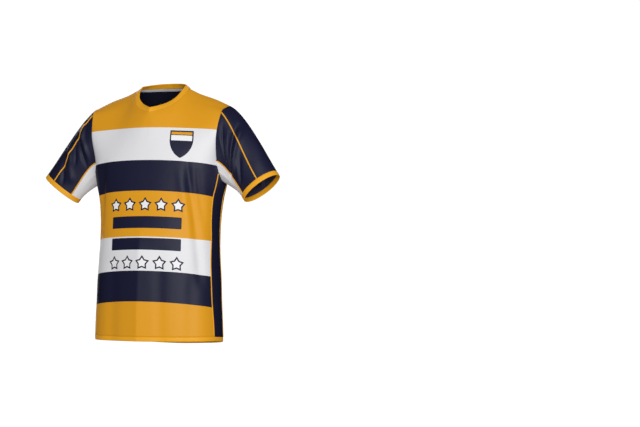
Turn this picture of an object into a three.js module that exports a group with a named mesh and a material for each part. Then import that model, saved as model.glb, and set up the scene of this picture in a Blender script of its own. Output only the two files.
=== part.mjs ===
// Short-sleeved rugby shirt, filled out as if worn, with nobody inside.
// Millimetres, +Z up, +X towards the wearer's left, and the front faces -Y.
// The origin is midway between the high points of the two shoulders, where the shirt hangs.

import * as THREE from 'three';

// Cloth and trim
const CLOTH = 1.5;
const BAND = 2.4;
const SEAM_GAP = 0.3;
const PIPING_WIDTH = 3.6;
const PIPING_HEIGHT = 1.1;
const PIPING_CLEARANCE = 0.4;
const TAPE_WIDTH = 8;
const TAPE_WALL = 0.8;
const TAPE_CLEARANCE = 0.4;
const HEM_BAND_HEIGHT = 12;
const CUFF_WIDTH = 15;
const MITRE_LIMIT = 0.45;
const FOLD_FADE = 50;
const RIM_ORDER = new THREE.Vector3(0.23, 0.41, 1);
// Piping stops short of the armhole, where the sleeve and the body lean towards each other
const UNDERARM_TRIM = 4;
const SLEEVE_TRIM = 1.5;

// Number of cells in each grid
const NECK_CELLS = 6;
const SHOULDER_CELLS = 6;
const HALF_CELLS = NECK_CELLS + SHOULDER_CELLS;
const LOWER_CELLS = 13;
const UPPER_CELLS = 12;
const SIDE_CELLS = 4;
const SLEEVE_CELLS = 9;
const COLLAR_CELLS = 2;
const RING_CELLS = 2 * UPPER_CELLS + SIDE_CELLS;

// Colours
const GOLD = 0xe09a14;
const NAVY = 0x1c1e36;
const WHITE = 0xe9e9ed;
const GREY = 0x9c9ca6;

// Level rings of the body. half is the half width, front and back are the depths (y) on the
// centre line, middle is y where the ring is widest, square is 2 for an ellipse and more for a
// squarer ring, and frontSeam and backSeam are y at the seams of the side panel.
const BODY_RINGS = [
  { z: -760, half: 195, front: -152, back: 92, middle: -30, square: 2.3, frontSeam: -54, backSeam: 12 },
  { z: -680, half: 192, front: -152, back: 92, middle: -30, square: 2.3, frontSeam: -56, backSeam: 13 },
  { z: -622, half: 189, front: -151, back: 92, middle: -29, square: 2.3, frontSeam: -58, backSeam: 14 },
  { z: -564, half: 187, front: -149, back: 94, middle: -28, square: 2.3, frontSeam: -58, backSeam: 13 },
  { z: -505, half: 183, front: -147, back: 97, middle: -25, square: 2.3, frontSeam: -54, backSeam: 11 },
  { z: -447, half: 181, front: -144, back: 100, middle: -22, square: 2.3, frontSeam: -48, backSeam: 9 },
  { z: -389, half: 182, front: -140, back: 104, middle: -17, square: 2.3, frontSeam: -48, backSeam: 8 },
  { z: -331, half: 188, front: -136, back: 108, middle: -13, square: 2.3, frontSeam: -48, backSeam: 10 },
  { z: -290, half: 198, front: -134, back: 108, middle: -11, square: 2.3, frontSeam: -46, backSeam: 16 },
  { z: -250, half: 206, front: -131, back: 107, middle: -10, square: 2.3, frontSeam: -44, backSeam: 26 },
];

// Heights of the hem seam and of the armhole's lower corners
const HEM_SEAM = { frontCentre: -723, frontSeam: -723, backSeam: -727, backCentre: -738 };
const ARMPIT = { frontCentre: -238, frontSeam: -255, backSeam: -262, backCentre: -252 };
const ARMHOLE_DIP = 22;

// Armhole from its lower corner (row 0) up to the shoulder tip (row 12), on the wearer's left
const SHOULDER_TIP = { x: 217, y: -4, z: -63 };
const ARMHOLE_FRONT = [
  { row: 2, x: 196, y: -50, z: -222 },
  { row: 5, x: 202, y: -65, z: -150 },
  { row: 8, x: 209, y: -46, z: -83 },
  { row: 10, x: 214, y: -24, z: -68 },
  { row: 12, ...SHOULDER_TIP },
];
const ARMHOLE_BACK = [
  { row: 2, x: 196, y: 36, z: -240 },
  { row: 5, x: 205, y: 60, z: -163 },
  { row: 8, x: 213, y: 50, z: -92 },
  { row: 10, x: 217, y: 26, z: -71 },
  { row: 12, ...SHOULDER_TIP },
];
// Rows of the armhole where the underarm piping and the sleeve piping start
const UNDER_ROW = 2;
const PIPE_ROW = 8;

// Shoulder seam from the neck seam (at 0) to the tip (at 1)
const NECK_POINT = { x: 82, y: 2, z: -9 };
const SHOULDER_SEAM = [
  { at: 0, ...NECK_POINT },
  { at: 0.28, x: 119, y: 1, z: -26 },
  { at: 0.65, x: 170, y: -2, z: -43 },
  { at: 1, ...SHOULDER_TIP },
];

// Neck seam and the collar's top edge, from the centre (at 0) to the shoulder (at 1)
const NECK_FRONT = [
  { at: 0, x: 0, y: -92, z: -79, topX: 0, topY: -87, topZ: -66 },
  { at: 0.17, x: 22, y: -82, z: -74, topX: 17, topY: -73, topZ: -61 },
  { at: 0.42, x: 50, y: -66, z: -63, topX: 41, topY: -55, topZ: -51 },
  { at: 0.66, x: 70, y: -44, z: -45, topX: 60, topY: -38, topZ: -35 },
  { at: 0.84, x: 80, y: -21, z: -24, topX: 69, topY: -18, topZ: -15 },
  { at: 1, ...NECK_POINT, topX: 70, topY: 2, topZ: 0 },
];
const NECK_BACK = [
  { at: 0, x: 0, y: 62, z: -4, topX: 0, topY: 53, topZ: 10 },
  { at: 0.4, x: 38, y: 55, z: -4, topX: 32, topY: 46, topZ: 9 },
  { at: 0.75, x: 69, y: 33, z: -6, topX: 58, topY: 28, topZ: 5 },
  { at: 1, ...NECK_POINT, topX: 70, topY: 2, topZ: 0 },
];

// Slope of the cloth where it reaches the top edge, with the length of that pull, for the
// columns that end at the centre of the neck (0), at the neck point (0.5) and at the tip (1)
const TOP_PULL_FRONT = [
  { at: 0, x: 0, y: 60, z: 90 },
  { at: 0.25, x: -3, y: 80, z: 85 },
  { at: 0.5, x: -4, y: 105, z: 70 },
  { at: 1, x: 5, y: 165, z: 40 },
];
const TOP_PULL_BACK = [
  { at: 0, x: 0, y: -95, z: 105 },
  { at: 0.25, x: -3, y: -105, z: 90 },
  { at: 0.5, x: -4, y: -125, z: 62 },
  { at: 1, x: 5, y: -175, z: 40 },
];
const BOTTOM_PULL = 175;

// Cuff seam: an oval at the sleeve's end. turn is the angle on the oval, from its top towards
// the front, where each armhole place (0 is the shoulder tip, counted round by the front) ends.
const CUFF_CENTRE = new THREE.Vector3(318.5, -21, -289.5);
const CUFF_UP = new THREE.Vector3(0.8, -0.016, 0.6).normalize();
const SLEEVE_AXIS = new THREE.Vector3(0.59, -0.13, -0.79).normalize();
const CUFF_HALF_HEIGHT = 64;
const CUFF_HALF_WIDTH = 45;
const CUFF_TURNS = [
  { place: 0, turn: 0 },
  { place: UPPER_CELLS - PIPE_ROW, turn: 73 },
  { place: UPPER_CELLS - UNDER_ROW, turn: 136 },
  { place: UPPER_CELLS + SIDE_CELLS / 2, turn: 180 },
  { place: UPPER_CELLS + SIDE_CELLS + UNDER_ROW, turn: 226 },
  { place: UPPER_CELLS + SIDE_CELLS + PIPE_ROW, turn: 280 },
  { place: RING_CELLS, turn: 360 },
];
// Direction in which the sleeve leaves the armhole, by place round it
const SLEEVE_START = [
  { place: 0, x: 0.91, y: 0, z: -0.41, reach: 0.65 },
  { place: 4, x: 0.72, y: -0.12, z: -0.66, reach: 0.7 },
  { place: 8, x: 0.75, y: -0.05, z: -0.6, reach: 0.8 },
  { place: 10, x: 0.9, y: 0, z: -0.35, reach: 0.8 },
  { place: 14, x: 0.86, y: 0, z: -0.5, reach: 0.8 },
  { place: 18, x: 0.9, y: 0, z: -0.35, reach: 0.8 },
  { place: 20, x: 0.75, y: -0.03, z: -0.6, reach: 0.8 },
  { place: 24, x: 0.72, y: -0.06, z: -0.66, reach: 0.7 },
  { place: 28, x: 0.91, y: 0, z: -0.41, reach: 0.65 },
];
const SLEEVE_END_REACH = 0.9;

// Main folds: soft troughs (depth below 0) and ridges (above 0), seen from the front or the
// back, each along a line from (x, z) to (toX, toZ), fading over width to both sides
const FOLDS = [
  { face: 'front', x: -10, z: -470, toX: -13, toZ: -760, width: 30, depth: 5 },
  { face: 'front', x: 178, z: -270, toX: 120, toZ: -400, width: 16, depth: -5 },
  { face: 'front', x: 150, z: -300, toX: 150, toZ: -480, width: 18, depth: -4 },
  { face: 'front', x: -178, z: -280, toX: -140, toZ: -400, width: 16, depth: -4 },
  { face: 'front', x: 60, z: -480, toX: 66, toZ: -760, width: 22, depth: -4 },
  { face: 'front', x: -90, z: -520, toX: -95, toZ: -760, width: 22, depth: -3.5 },
  { face: 'back', x: -176, z: -290, toX: -90, toZ: -500, width: 18, depth: -5 },
  { face: 'back', x: -150, z: -270, toX: -148, toZ: -470, width: 16, depth: -4 },
  { face: 'back', x: 170, z: -290, toX: 110, toZ: -470, width: 18, depth: -4 },
  { face: 'back', x: 20, z: -330, toX: 12, toZ: -760, width: 20, depth: -3.5 },
  { face: 'back', x: 100, z: -430, toX: 108, toZ: -760, width: 24, depth: -3.5 },
];

/** The value of a table's column at a place between its rows, along a smooth curve. */
function smoothValue(table, by, key, at) {
  const last = table.length - 1;
  let i = 0;
  const rising = table[last][by] > table[0][by];
  while (i < last - 1 && (rising ? at > table[i + 1][by] : at < table[i + 1][by])) i += 1;
  const slope = (k) => {
    const a = table[Math.max(k - 1, 0)];
    const b = table[Math.min(k + 1, last)];
    return (b[key] - a[key]) / (b[by] - a[by]);
  };
  const [from, to] = [table[i], table[i + 1]];
  const span = to[by] - from[by];
  const t = (at - from[by]) / span;
  const [m0, m1] = [slope(i) * span, slope(i + 1) * span];
  return blend(from[key], m0, to[key], m1, t);
}

/** Cubic from a (leaving with slope da) to b (arriving with slope db). */
function blend(a, da, b, db, t) {
  const t2 = t * t;
  const t3 = t2 * t;
  return (2 * t3 - 3 * t2 + 1) * a + (t3 - 2 * t2 + t) * da + (3 * t2 - 2 * t3) * b + (t3 - t2) * db;
}

/** A point of a table that has columns x, y and z (or others with the given names). */
function smoothPoint(table, by, at, keys = ['x', 'y', 'z']) {
  return new THREE.Vector3(...keys.map((key) => smoothValue(table, by, key, at)));
}

/** A point of the level ring at z. angle is -90 degrees at the front centre, +90 at the back. */
function ringPoint(z, angle) {
  const of = (key) => smoothValue(BODY_RINGS, 'z', key, z);
  const middle = of('middle');
  const depth = angle < 0 ? middle - of('front') : of('back') - middle;
  const power = 2 / of('square');
  const x = of('half') * Math.abs(Math.cos(angle)) ** power;
  const y = middle + Math.sign(angle) * depth * Math.abs(Math.sin(angle)) ** power;
  return new THREE.Vector3(x, y, z);
}

/** The ring's angle at a seam, whose y is a column of the table of rings. */
function seamAngle(z, seam) {
  const of = (key) => smoothValue(BODY_RINGS, 'z', key, z);
  const aside = of(seam) - of('middle');
  const depth = aside < 0 ? of('middle') - of('front') : of('back') - of('middle');
  return Math.sign(aside) * Math.asin((Math.abs(aside) / depth) ** (of('square') / 2));
}

/** The point at a share of the ring's length between two angles. */
function ringShare(z, fromAngle, toAngle, share) {
  const steps = 40;
  const points = [];
  const lengths = [0];
  for (let i = 0; i <= steps; i += 1) {
    points.push(ringPoint(z, fromAngle + ((toAngle - fromAngle) * i) / steps));
    if (i > 0) lengths.push(lengths[i - 1] + points[i].distanceTo(points[i - 1]));
  }
  const wanted = share * lengths[steps];
  let i = 1;
  while (i < steps && lengths[i] < wanted) i += 1;
  const t = (wanted - lengths[i - 1]) / (lengths[i] - lengths[i - 1]);
  return points[i - 1].clone().lerp(points[i], t);
}

const QUARTER = Math.PI / 2;

/** A point of the lower body on the wearer's left. up is 0 at the hem and 1 at the armpit. */
function lowerPoint(zone, share, up) {
  const level = (key) => THREE.MathUtils.lerp(HEM_SEAM[key], ARMPIT[key], up);
  if (zone === 'side') {
    const dip = ARMHOLE_DIP * Math.sin(Math.PI * share) * up ** 4;
    const z = THREE.MathUtils.lerp(level('frontSeam'), level('backSeam'), share) - dip;
    return ringShare(z, seamAngle(z, 'frontSeam'), seamAngle(z, 'backSeam'), share);
  }
  const sag = share * share;
  const z = THREE.MathUtils.lerp(level(`${zone}Centre`), level(`${zone}Seam`), sag);
  const centre = zone === 'front' ? -QUARTER : QUARTER;
  return ringShare(z, centre, seamAngle(z, `${zone}Seam`), share);
}

/** The top edge of the front or back on the wearer's left, by share from the centre. */
function topPoint(zone, share) {
  const neckShare = NECK_CELLS / HALF_CELLS;
  if (share > neckShare) {
    return smoothPoint(SHOULDER_SEAM, 'at', (share - neckShare) / (1 - neckShare));
  }
  return smoothPoint(zone === 'front' ? NECK_FRONT : NECK_BACK, 'at', share / neckShare);
}

/** The upper body: each column runs from the armpit level to the neck or shoulder seam. */
function upperPoint(zone, share, up) {
  const table = zone === 'front' ? ARMHOLE_FRONT : ARMHOLE_BACK;
  const pulls = zone === 'front' ? TOP_PULL_FRONT : TOP_PULL_BACK;
  const column = (at) => {
    const start = lowerPoint(zone, at, 1);
    const rise = start.clone().sub(lowerPoint(zone, at, 0.97)).setLength(BOTTOM_PULL);
    const end = topPoint(zone, at);
    const pull = smoothPoint(pulls, 'at', at);
    const axis = (key) => blend(start[key], rise[key], end[key], pull[key], up);
    return new THREE.Vector3(axis('x'), axis('y'), axis('z'));
  };
  const corner = lowerPoint(zone, 1, 1);
  const armhole = [{ row: 0, x: corner.x, y: corner.y, z: corner.z }, ...table];
  const edge = smoothPoint(armhole, 'row', up * UPPER_CELLS).sub(column(1));
  return column(share).addScaledVector(edge, share ** 3);
}

/** Rows of points, from the hem or the armhole on, over the given columns. */
function grid(rows, columns, point) {
  return Array.from({ length: rows + 1 }, (_, r) =>
    Array.from({ length: columns + 1 }, (_, c) => point(r, c)));
}

const mirror = (p) => new THREE.Vector3(-p.x, p.y, p.z);
const mirrorGrid = (points) => points.map((row) => row.map(mirror).reverse());

/** The front or the back, both halves, from hem to neck. */
function bodyGrid(zone) {
  return grid(LOWER_CELLS + UPPER_CELLS, 2 * HALF_CELLS, (r, c) => {
    const share = Math.abs(c - HALF_CELLS) / HALF_CELLS;
    const lower = r <= LOWER_CELLS;
    const half = lower
      ? lowerPoint(zone, share, r / LOWER_CELLS)
      : upperPoint(zone, share, (r - LOWER_CELLS) / UPPER_CELLS);
    const left = zone === 'front' ? c > HALF_CELLS : c < HALF_CELLS;
    return left ? half : mirror(half);
  });
}

/** The side panel, from the front's last column to the back's first. */
function sideGrid(front, back) {
  return grid(LOWER_CELLS, SIDE_CELLS, (r, c) => {
    if (c === 0) return front[r][2 * HALF_CELLS];
    return c === SIDE_CELLS ? back[r][0] : lowerPoint('side', c / SIDE_CELLS, r / LOWER_CELLS);
  });
}

/** The armhole's points on the wearer's left: shoulder tip, front, underarm, back, tip. */
function armholeRing(front, side, back) {
  const down = front.slice(LOWER_CELLS).map((row) => row[2 * HALF_CELLS]).reverse();
  const up = back.slice(LOWER_CELLS).map((row) => row[0]);
  return [...down, ...side[LOWER_CELLS].slice(1), ...up.slice(1)];
}

/** A point of the cuff's oval, moved along the sleeve. */
function cuffPoint(place, along) {
  const turn = THREE.MathUtils.degToRad(smoothValue(CUFF_TURNS, 'place', 'turn', place) % 360);
  const forward = SLEEVE_AXIS.clone().cross(CUFF_UP).normalize();
  if (forward.y > 0) forward.negate();
  return CUFF_CENTRE.clone()
    .addScaledVector(CUFF_UP, CUFF_HALF_HEIGHT * Math.cos(turn))
    .addScaledVector(forward, CUFF_HALF_WIDTH * Math.sin(turn))
    .addScaledVector(SLEEVE_AXIS, along);
}

/** The whole left sleeve from armhole to cuff, all round. */
function sleeveGrid(ring) {
  return grid(SLEEVE_CELLS, RING_CELLS, (r, place) => {
    const [start, end] = [ring[place], cuffPoint(place, 0)];
    const chord = start.distanceTo(end);
    const reach = smoothValue(SLEEVE_START, 'place', 'reach', place) * chord;
    const leave = smoothPoint(SLEEVE_START, 'place', place).setLength(reach);
    const arrive = SLEEVE_AXIS.clone().setLength(SLEEVE_END_REACH * chord);
    const axis = (key) => blend(start[key], leave[key], end[key], arrive[key], r / SLEEVE_CELLS);
    return new THREE.Vector3(axis('x'), axis('y'), axis('z'));
  });
}

/** The collar band from the neck seam to its top edge, all round. */
function collarGrid(front, back) {
  const last = LOWER_CELLS + UPPER_CELLS;
  const [from, to] = [HALF_CELLS - NECK_CELLS, HALF_CELLS + NECK_CELLS + 1];
  const edge = (points, table) => points[last].slice(from, to).map((seam, i) => {
    const share = Math.abs(i - NECK_CELLS) / NECK_CELLS;
    const top = smoothPoint(table, 'at', share, ['topX', 'topY', 'topZ']);
    return { seam, top: seam.x < 0 ? mirror(top) : top };
  });
  const ring = [...edge(front, NECK_FRONT), ...edge(back, NECK_BACK).slice(1)];
  return grid(COLLAR_CELLS, ring.length - 1, (r, c) =>
    ring[c].seam.clone().lerp(ring[c].top, r / COLLAR_CELLS));
}

/** The hem band: the hem seam all round, with the same ring lowered by the band's height. */
function hemGrid(front, side, back) {
  const seam = [...front[0], ...side[0].slice(1), ...back[0].slice(1), ...mirrorGrid(side)[0].slice(1)];
  const bottom = seam.map((p) => p.clone().setZ(p.z - HEM_BAND_HEIGHT));
  return [bottom, seam];
}

/** Height of the main folds at a point of the cloth whose outer side faces along normal. */
function foldHeight(p, normal) {
  let height = 0;
  for (const fold of FOLDS) {
    const facing = fold.face === 'front' ? -normal.y : normal.y;
    if (facing <= 0) continue;
    const [dx, dz] = [fold.toX - fold.x, fold.toZ - fold.z];
    const [px, pz] = [p.x - fold.x, p.z - fold.z];
    const length = Math.hypot(dx, dz);
    const along = (px * dx + pz * dz) / length;
    const aside = (px * dz - pz * dx) / length;
    const inset = THREE.MathUtils.clamp(Math.min(along, length - along) / FOLD_FADE, -1, 1);
    const fade = THREE.MathUtils.smoothstep(inset, -1, 1) * Math.min(facing * 2, 1);
    height += fold.depth * fade * Math.exp(-((aside / fold.width) ** 2));
  }
  return height;
}

/** Corners of all the outer surfaces together. Pieces that meet at a seam share its corners,
 * so they get one normal there, and their walls meet in a mitre. */
class Net {
  constructor(grids) {
    this.corners = new Map();
    for (const points of grids) this.add(points);
  }

  static key(p) {
    return p.toArray().join(' ');
  }

  add(points) {
    for (let r = 0; r + 1 < points.length; r += 1) {
      for (let c = 0; c + 1 < points[r].length; c += 1) {
        const cell = [points[r][c], points[r][c + 1], points[r + 1][c + 1], points[r + 1][c]];
        const rising = cell[2].clone().sub(cell[0]);
        const normal = rising.cross(cell[3].clone().sub(cell[1])).normalize();
        for (const corner of cell) {
          const key = Net.key(corner);
          if (!this.corners.has(key)) this.corners.set(key, []);
          this.corners.get(key).push(normal);
        }
      }
    }
  }

  /** The outward direction at a corner. */
  normal(p) {
    const around = this.corners.get(Net.key(p));
    return around.reduce((sum, n) => sum.add(n), new THREE.Vector3()).normalize();
  }

  /** The step from the outer to the inner side of a wall 1 mm thick. */
  step(p) {
    const around = this.corners.get(Net.key(p));
    const normal = this.normal(p);
    const lean = around.reduce((sum, n) => sum + n.dot(normal), 0) / around.length;
    return normal.multiplyScalar(-1 / Math.max(lean, MITRE_LIMIT));
  }
}

/** A mesh from corner points and faces of three or four corners, faces turned outwards. */
function solid(name, points, faces, colour) {
  const index = faces.flatMap((f) => (f.length === 4 ? [f[0], f[1], f[2], f[0], f[2], f[3]] : f));
  const geometry = new THREE.BufferGeometry();
  geometry.setAttribute('position', new THREE.Float32BufferAttribute(points.flatMap((p) => p.toArray()), 3));
  geometry.setIndex(index);
  geometry.computeVertexNormals();
  const mesh = new THREE.Mesh(
    geometry,
    new THREE.MeshStandardMaterial({ color: colour, roughness: 0.55, metalness: 0 }),
  );
  mesh.name = name;
  return mesh;
}

/** A closed wall between an outer and an inner grid. ring joins the last column to the first. */
function wallBetween(name, outer, inner, colour, ring) {
  const rows = outer.length;
  const columns = ring ? outer[0].length - 1 : outer[0].length;
  const points = [...outer, ...inner].flatMap((row) => row.slice(0, columns));
  const out = (r, c) => r * columns + (c % columns);
  const inn = (r, c) => rows * columns + out(r, c);
  const faces = [];
  for (let r = 0; r < rows - 1; r += 1) {
    for (let c = 0; c < (ring ? columns : columns - 1); c += 1) {
      faces.push([out(r, c), out(r, c + 1), out(r + 1, c + 1), out(r + 1, c)]);
      faces.push([inn(r, c), inn(r + 1, c), inn(r + 1, c + 1), inn(r, c + 1)]);
    }
  }
  // Two walls that meet at a seam split their rims along the same diagonal, so they stay clear
  const rank = (k) => points[k].dot(RIM_ORDER);
  const rim = (a, b, c, d) => {
    const face = [out(c, d), out(a, b), inn(a, b), inn(c, d)];
    if (rank(out(a, b)) > rank(out(c, d))) face.push(face.shift());
    faces.push(face);
  };
  for (let c = 0; c < (ring ? columns : columns - 1); c += 1) {
    rim(0, c, 0, c + 1);
    rim(rows - 1, c + 1, rows - 1, c);
  }
  for (let r = 0; r < rows - 1 && !ring; r += 1) {
    rim(r, columns - 1, r + 1, columns - 1);
    rim(r + 1, 0, r, 0);
  }
  return solid(name, points, faces, colour);
}

/** A piece of cloth: its outer grid drawn in from the seams, and its inner side a wall away. */
function cloth(name, net, points, wall, colour, ring = false) {
  const toward = (p, q) => q.clone().sub(p).setLength(SEAM_GAP / 2);
  const [rows, columns] = [points.length - 1, points[0].length - 1];
  const outer = points.map((row, r) => row.map((p, c) => {
    const moved = p.clone();
    if (r === 0) moved.add(toward(p, points[1][c]));
    if (r === rows) moved.add(toward(p, points[rows - 1][c]));
    if (!ring && c === 0) moved.add(toward(p, row[1]));
    if (!ring && c === columns) moved.add(toward(p, row[columns - 1]));
    return moved;
  }));
  const inner = outer.map((row, r) => row.map((p, c) =>
    p.clone().addScaledVector(net.step(points[r][c]), wall)));
  return wallBetween(name, outer, inner, colour, ring);
}

/** Piping along a seam, given by its corners, just clear of the cloth under it. */
function piping(name, net, seam, startTrim, endTrim) {
  const last = seam.length - 1;
  const along = seam.map((p, i) =>
    seam[Math.min(i + 1, last)].clone().sub(seam[Math.max(i - 1, 0)]).normalize());
  const places = seam.map((p) => p.clone());
  places[0].add(seam[1].clone().sub(seam[0]).setLength(startTrim));
  places[last].add(seam[last - 1].clone().sub(seam[last]).setLength(endTrim));
  const section = [
    [PIPING_WIDTH / 2, PIPING_CLEARANCE],
    [-PIPING_WIDTH / 2, PIPING_CLEARANCE],
    [-PIPING_WIDTH / 3, PIPING_CLEARANCE + PIPING_HEIGHT],
    [PIPING_WIDTH / 3, PIPING_CLEARANCE + PIPING_HEIGHT],
  ];
  const points = [];
  const faces = [];
  places.forEach((p, i) => {
    const normal = net.normal(seam[THREE.MathUtils.clamp(i, 1, last - 1)]);
    const aside = along[i].clone().cross(normal).normalize();
    for (const [x, y] of section) {
      points.push(p.clone().addScaledVector(aside, x).addScaledVector(normal, y));
    }
    for (let k = 0; k < 4 && i > 0; k += 1) {
      const [a, b] = [4 * (i - 1), 4 * i];
      const next = (k + 1) % 4;
      faces.push([a + k, a + next, b + next, b + k]);
    }
  });
  const end = 4 * last;
  faces.push([3, 2, 1, 0], [end, end + 1, end + 2, end + 3]);
  return solid(name, points, faces, GOLD);
}

/** The tape over the seam inside the back neck, laid on the back panel's inner side. */
function neckTape(net, back) {
  const rows = back.length - 1;
  const first = HALF_CELLS - NECK_CELLS;
  const places = [TAPE_WIDTH + 2 * SEAM_GAP, 2 * SEAM_GAP];
  const layer = (depth) => places.map((down) => {
    const row = back[rows].slice(first, first + 2 * NECK_CELLS + 1);
    return row.map((p, i) => {
      const fall = back[rows - 1][first + i].clone().sub(p).setLength(down);
      return p.clone().add(fall).addScaledVector(net.step(p), depth);
    });
  });
  const near = CLOTH + TAPE_CLEARANCE;
  return wallBetween('neck_tape', layer(near), layer(near + TAPE_WALL), GREY, false);
}

/** The grids with every corner moved along the cloth's normal by the folds' height. */
function folded(grids) {
  const net = new Net(grids);
  return grids.map((points) => points.map((row) => row.map((p) => {
    const normal = net.normal(p);
    return p.clone().addScaledVector(normal, foldHeight(p, normal));
  })));
}

function buildShirt() {
  const plainFront = bodyGrid('front');
  const plainBack = bodyGrid('back');
  const plainSide = sideGrid(plainFront, plainBack);
  const plainSleeve = sleeveGrid(armholeRing(plainFront, plainSide, plainBack));
  const plainCuff = grid(1, RING_CELLS, (r, place) => cuffPoint(place, r * CUFF_WIDTH));
  const grids = folded([
    plainFront,
    plainBack,
    plainSide,
    mirrorGrid(plainSide),
    plainSleeve,
    mirrorGrid(plainSleeve),
    collarGrid(plainFront, plainBack),
    hemGrid(plainFront, plainSide, plainBack),
    plainCuff,
    mirrorGrid(plainCuff),
  ]);
  const net = new Net(grids);
  const [front, back, sideLeft, sideRight, sleeveLeft, sleeveRight, collar, hem, cuffLeft, cuffRight] = grids;
  const shirt = new THREE.Group();
  shirt.add(
    cloth('front_panel', net, front, CLOTH, GOLD),
    cloth('back_panel', net, back, CLOTH, GOLD),
    cloth('side_panel_left', net, sideLeft, CLOTH, NAVY),
    cloth('side_panel_right', net, sideRight, CLOTH, NAVY),
    cloth('collar_band', net, collar, BAND, GOLD, true),
    cloth('hem_band', net, hem, BAND, GOLD, true),
    cloth('cuff_left', net, cuffLeft, BAND, GOLD, true),
    cloth('cuff_right', net, cuffRight, BAND, GOLD, true),
    neckTape(net, back),
  );

  const column = (points, c) => points.map((row) => row[c]);
  const lower = (points, c) => column(points, c).slice(0, LOWER_CELLS + 1);
  const lastColumn = 2 * HALF_CELLS;
  shirt.add(
    piping('piping_side_front_left', net, lower(front, lastColumn), SEAM_GAP, UNDERARM_TRIM),
    piping('piping_side_back_left', net, lower(back, 0), SEAM_GAP, UNDERARM_TRIM),
    piping('piping_side_front_right', net, lower(front, 0), SEAM_GAP, UNDERARM_TRIM),
    piping('piping_side_back_right', net, lower(back, lastColumn), SEAM_GAP, UNDERARM_TRIM),
  );

  // Places round the armhole where the sleeve's panels meet
  const pipeFront = UPPER_CELLS - PIPE_ROW;
  const underFront = UPPER_CELLS - UNDER_ROW;
  const underBack = RING_CELLS - underFront;
  const pipeBack = RING_CELLS - pipeFront;
  const stretch = (points, from, to) => points.map((row) => row.slice(from, to + 1));
  for (const [hand, points] of [['left', sleeveLeft], ['right', mirrorGrid(sleeveRight)]]) {
    const turned = (part) => (hand === 'left' ? part : mirrorGrid(part));
    const top = points.map((row) => [...row.slice(pipeBack), ...row.slice(1, pipeFront + 1)]);
    const panels = [
      ['top', top, NAVY],
      ['front', stretch(points, pipeFront, underFront), NAVY],
      ['under', stretch(points, underFront, underBack), WHITE],
      ['back', stretch(points, underBack, pipeBack), NAVY],
    ];
    for (const [part, panel, colour] of panels) {
      shirt.add(cloth(`sleeve_${part}_${hand}`, net, turned(panel), CLOTH, colour));
    }
    const seams = [
      ['sleeve_front', pipeFront, SLEEVE_TRIM],
      ['sleeve_back', pipeBack, SLEEVE_TRIM],
      ['under_front', underFront, UNDERARM_TRIM],
      ['under_back', underBack, UNDERARM_TRIM],
    ];
    for (const [seam, place, trim] of seams) {
      const line = hand === 'left' ? column(points, place) : column(points, place).map(mirror);
      shirt.add(piping(`piping_${seam}_${hand}`, net, line, trim, SEAM_GAP));
    }
  }
  return shirt;
}

export default buildShirt();
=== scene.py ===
"""Short-sleeved rugby shirt, filled out as if worn, with nobody inside.

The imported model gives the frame. Each cut piece of cloth, each trim and each length of piping
is built here as a fine thin shell on the same form, and stands for its CAD node. Sizes are in
millimetres until a mesh is made; +Z is up, +X is the wearer's left, and the front faces -Y.
"""

from __future__ import annotations

import logging
import math
from dataclasses import dataclass, field, replace
from enum import Enum
from typing import ClassVar, Sequence

import bpy
import numpy as np
from mathutils import Matrix, Vector

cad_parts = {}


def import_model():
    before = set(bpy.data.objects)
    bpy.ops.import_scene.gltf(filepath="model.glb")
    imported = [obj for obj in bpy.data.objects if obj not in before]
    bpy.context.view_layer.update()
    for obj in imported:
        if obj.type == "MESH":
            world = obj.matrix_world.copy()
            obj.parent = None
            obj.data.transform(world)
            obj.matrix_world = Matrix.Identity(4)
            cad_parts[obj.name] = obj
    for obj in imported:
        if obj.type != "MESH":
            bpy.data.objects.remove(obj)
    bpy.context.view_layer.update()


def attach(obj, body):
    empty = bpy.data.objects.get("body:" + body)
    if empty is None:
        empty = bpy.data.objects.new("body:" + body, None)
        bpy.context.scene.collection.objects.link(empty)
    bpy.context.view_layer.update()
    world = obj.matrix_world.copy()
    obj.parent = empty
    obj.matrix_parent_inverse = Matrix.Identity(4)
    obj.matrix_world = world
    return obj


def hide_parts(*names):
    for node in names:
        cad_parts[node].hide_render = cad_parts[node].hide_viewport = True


LOG = logging.getLogger("rugby_shirt")
MM = 0.001
# Places are counted round the armhole from the shoulder's tip, by the front, the underarm and the back
FRONT_END, UNDERARM_END, FULL_ROUND = 12, 16, 28
# Distance between the bands of a wave texture at scale 1
BAND_PERIOD = 0.3142
Points = np.ndarray


class Face(Enum):
    """The two large panels of the body. The value is the sign of y on that side."""

    FRONT = -1
    BACK = 1


class Hand(Enum):
    """The wearer's hand. The value is the sign of x on that side."""

    LEFT = 1
    RIGHT = -1


# Curves and tables


def cubic(a: Points, da: Points, b: Points, db: Points, t: Points) -> Points:
    """Cubic between two values.

    Args:
        a: Value at the start.
        da: Slope at the start, per unit of t.
        b: Value at the end.
        db: Slope at the end, per unit of t.
        t: Place along the curve, from 0 to 1.

    Returns:
        The values at t.
    """
    t2, t3 = t * t, t * t * t
    return (2 * t3 - 3 * t2 + 1) * a + (t3 - 2 * t2 + t) * da + (3 * t2 - 2 * t3) * b + (t3 - t2) * db


def smoothstep(low: float, high: float, x: Points) -> Points:
    """Smooth rise.

    Args:
        low: x where the rise starts.
        high: x where it ends.
        x: The places.

    Returns:
        0 below low, 1 above high, and a smooth rise between them.
    """
    t = np.clip((x - low) / (high - low), 0, 1)
    return t * t * (3 - 2 * t)


def unit(vectors: Points) -> Points:
    """Returns the vectors with their lengths set to 1."""
    return vectors / np.maximum(np.linalg.norm(vectors, axis=-1, keepdims=True), 1e-9)


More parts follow.
